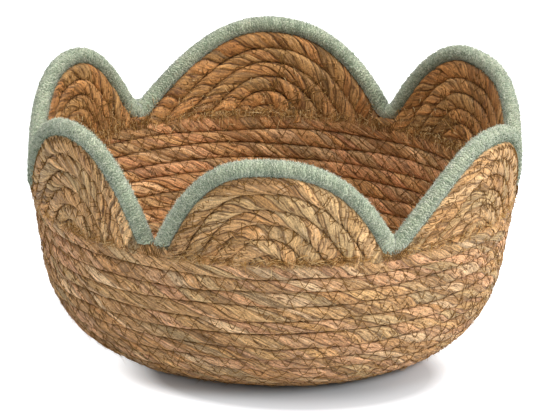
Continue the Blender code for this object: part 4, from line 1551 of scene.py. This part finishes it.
# %% [markdown]
# ## Floor and light
# A pale floor catches a soft shadow. A large lamp on the right and one overhead give the light its
# direction, two weak ones from the front left and the left soften the shade, and a pale sky fills the
# rest, so that each colour renders about as it is written. Round the basket the floor would render as
# a light grey. There it lifts itself to white, and in front, under the basket's belly, a shadow is
# painted on it in a darker colour. Both are done for the camera only, and fade by the distance from
# two spots of the floor.

# %% Floor
FLOOR_HALF, FLOOR_Z = 6.0, -0.2 * MM
SHADOW_DEPTH = 1.3            # the shadow in front is wider than deep by this much
SHADOW_AT = (15 * MM, -82 * MM * SHADOW_DEPTH, 0.0)
# Painted shadow: distances over which the floor's colour in front goes from dark to pale.
SHADOW_PAINT_FROM, SHADOW_PAINT_TO = 40 * MM, 110 * MM
GLOW_FROM, GLOW_TO = 85 * MM, 115 * MM
ROUND_AT = (0.0, 25 * MM, 0.0)
ROUND_FROM, ROUND_TO = 96 * MM, 125 * MM
# The dark floor colour is a painted shadow in front of the basket, seen by the camera.
FLOOR_PALE, FLOOR_SHADOW_PAINT = (0.84, 0.86, 0.89, 1.0), (0.305, 0.345, 0.38, 1.0)
FLOOR_GLOW = 0.9


def distance_from(tree, vector, spot):
    """Distance of a place from a spot."""
    return node(tree, "VectorMath", {0: vector, 1: spot}, operation="DISTANCE").outputs["Value"]


def make_floor():
    """Wide pale floor whose own light, seen by the camera only, lifts it to white round the basket, with a
    shadow painted darker in front, also for the camera only.
    """
    mesh = bpy.data.meshes.new("floor")
    corners = [(x * FLOOR_HALF, y * FLOOR_HALF, FLOOR_Z) for x, y in ((-1, -1), (1, -1), (1, 1), (-1, 1))]
    mesh.from_pydata(corners, [], [(0, 1, 2, 3)])
    floor = bpy.data.objects.new("floor", mesh)
    bpy.context.scene.collection.objects.link(floor)
    material, tree, shader = new_finish("floor_white", 0.9, 0.1)
    seen_directly = node(tree, "LightPath").outputs["Is Camera Ray"]
    spot = object_place(tree)
    in_front = distance_from(tree, scaled(tree, spot, (1.0, SHADOW_DEPTH, 1.0)), SHADOW_AT)
    around = distance_from(tree, spot, ROUND_AT)
    # Painted shadow in front of the basket, for the camera only.
    painted_shadow = maths(tree, "MULTIPLY", seen_directly, stretch(tree, in_front, 1.0, 0.0, SHADOW_PAINT_FROM, SHADOW_PAINT_TO))
    glow = maths(tree, "MINIMUM", stretch(tree, in_front, 0.0, FLOOR_GLOW, GLOW_FROM, GLOW_TO),
                 stretch(tree, around, 0.0, FLOOR_GLOW, ROUND_FROM, ROUND_TO))
    connect(tree, shader.inputs["Base Color"], mix(tree, painted_shadow, FLOOR_PALE, FLOOR_SHADOW_PAINT))
    shader.inputs["Emission Color"].default_value = grey(1.0)
    connect(tree, shader.inputs["Emission Strength"], maths(tree, "MULTIPLY", seen_directly, glow))
    mesh.materials.append(material)


make_floor()
print("floor: %.0f m wide" % (2 * FLOOR_HALF))

# %% Lamps and sky
LAMPS = (("key", (2.0, -0.8, 1.3), 1.2, 52.0), ("overhead", (0.0, -0.3, 2.2), 1.8, 28.0),
         ("fill", (-0.6, -2.2, 0.9), 1.4, 8.5), ("left", (-2.0, -0.6, 1.3), 1.2, 3.5))
LAMPS_AIM = (0.0, 0.0, 0.05)
SKY_LEVEL, SKY_OVERHEAD = 0.42, 0.46


def make_lamp(name, place, size, power):
    """Round soft lamp of a width in metres, aimed at the basket."""
    data = bpy.data.lights.new(name, "AREA")
    data.shape, data.size, data.energy = "DISK", size, power
    lamp = bpy.data.objects.new(name, data)
    bpy.context.scene.collection.objects.link(lamp)
    backward = unit(np.array(place) - np.array(LAMPS_AIM))
    side = unit(np.cross([0.0, 0.0, 1.0], backward))
    matrix = np.eye(4)
    matrix[:3, 0], matrix[:3, 1], matrix[:3, 2] = side, np.cross(backward, side), backward
    matrix[:3, 3] = place
    lamp.matrix_world = Matrix(matrix.tolist())


def make_sky(level, overhead):
    """Pale light from all round, stronger from above; the camera, gloss and glass see it white."""
    world = bpy.data.worlds.new("studio")
    bpy.context.scene.world = world
    world.use_nodes = True
    tree = world.node_tree
    path = node(tree, "LightPath").outputs
    direct = maths(tree, "MAXIMUM", path["Is Camera Ray"], path["Is Glossy Ray"])
    direct = maths(tree, "MAXIMUM", direct, path["Is Transmission Ray"])
    background = tree.nodes["Background"]
    background.inputs["Color"].default_value = grey(1.0)
    height = node(tree, "SeparateXYZ", {0: node(tree, "TexCoord").outputs["Generated"]}).outputs["Z"]
    strength = stretch(tree, height, level, overhead, 0.0, 0.8)
    connect(tree, background.inputs["Strength"], stretch(tree, direct, strength, 1.0))


for lamp in LAMPS:
    make_lamp(*lamp)
make_sky(SKY_LEVEL, SKY_OVERHEAD)
bpy.context.scene.view_settings.view_transform = "Standard"
print("lamps:", [(name, power) for name, place_at, size, power in LAMPS])
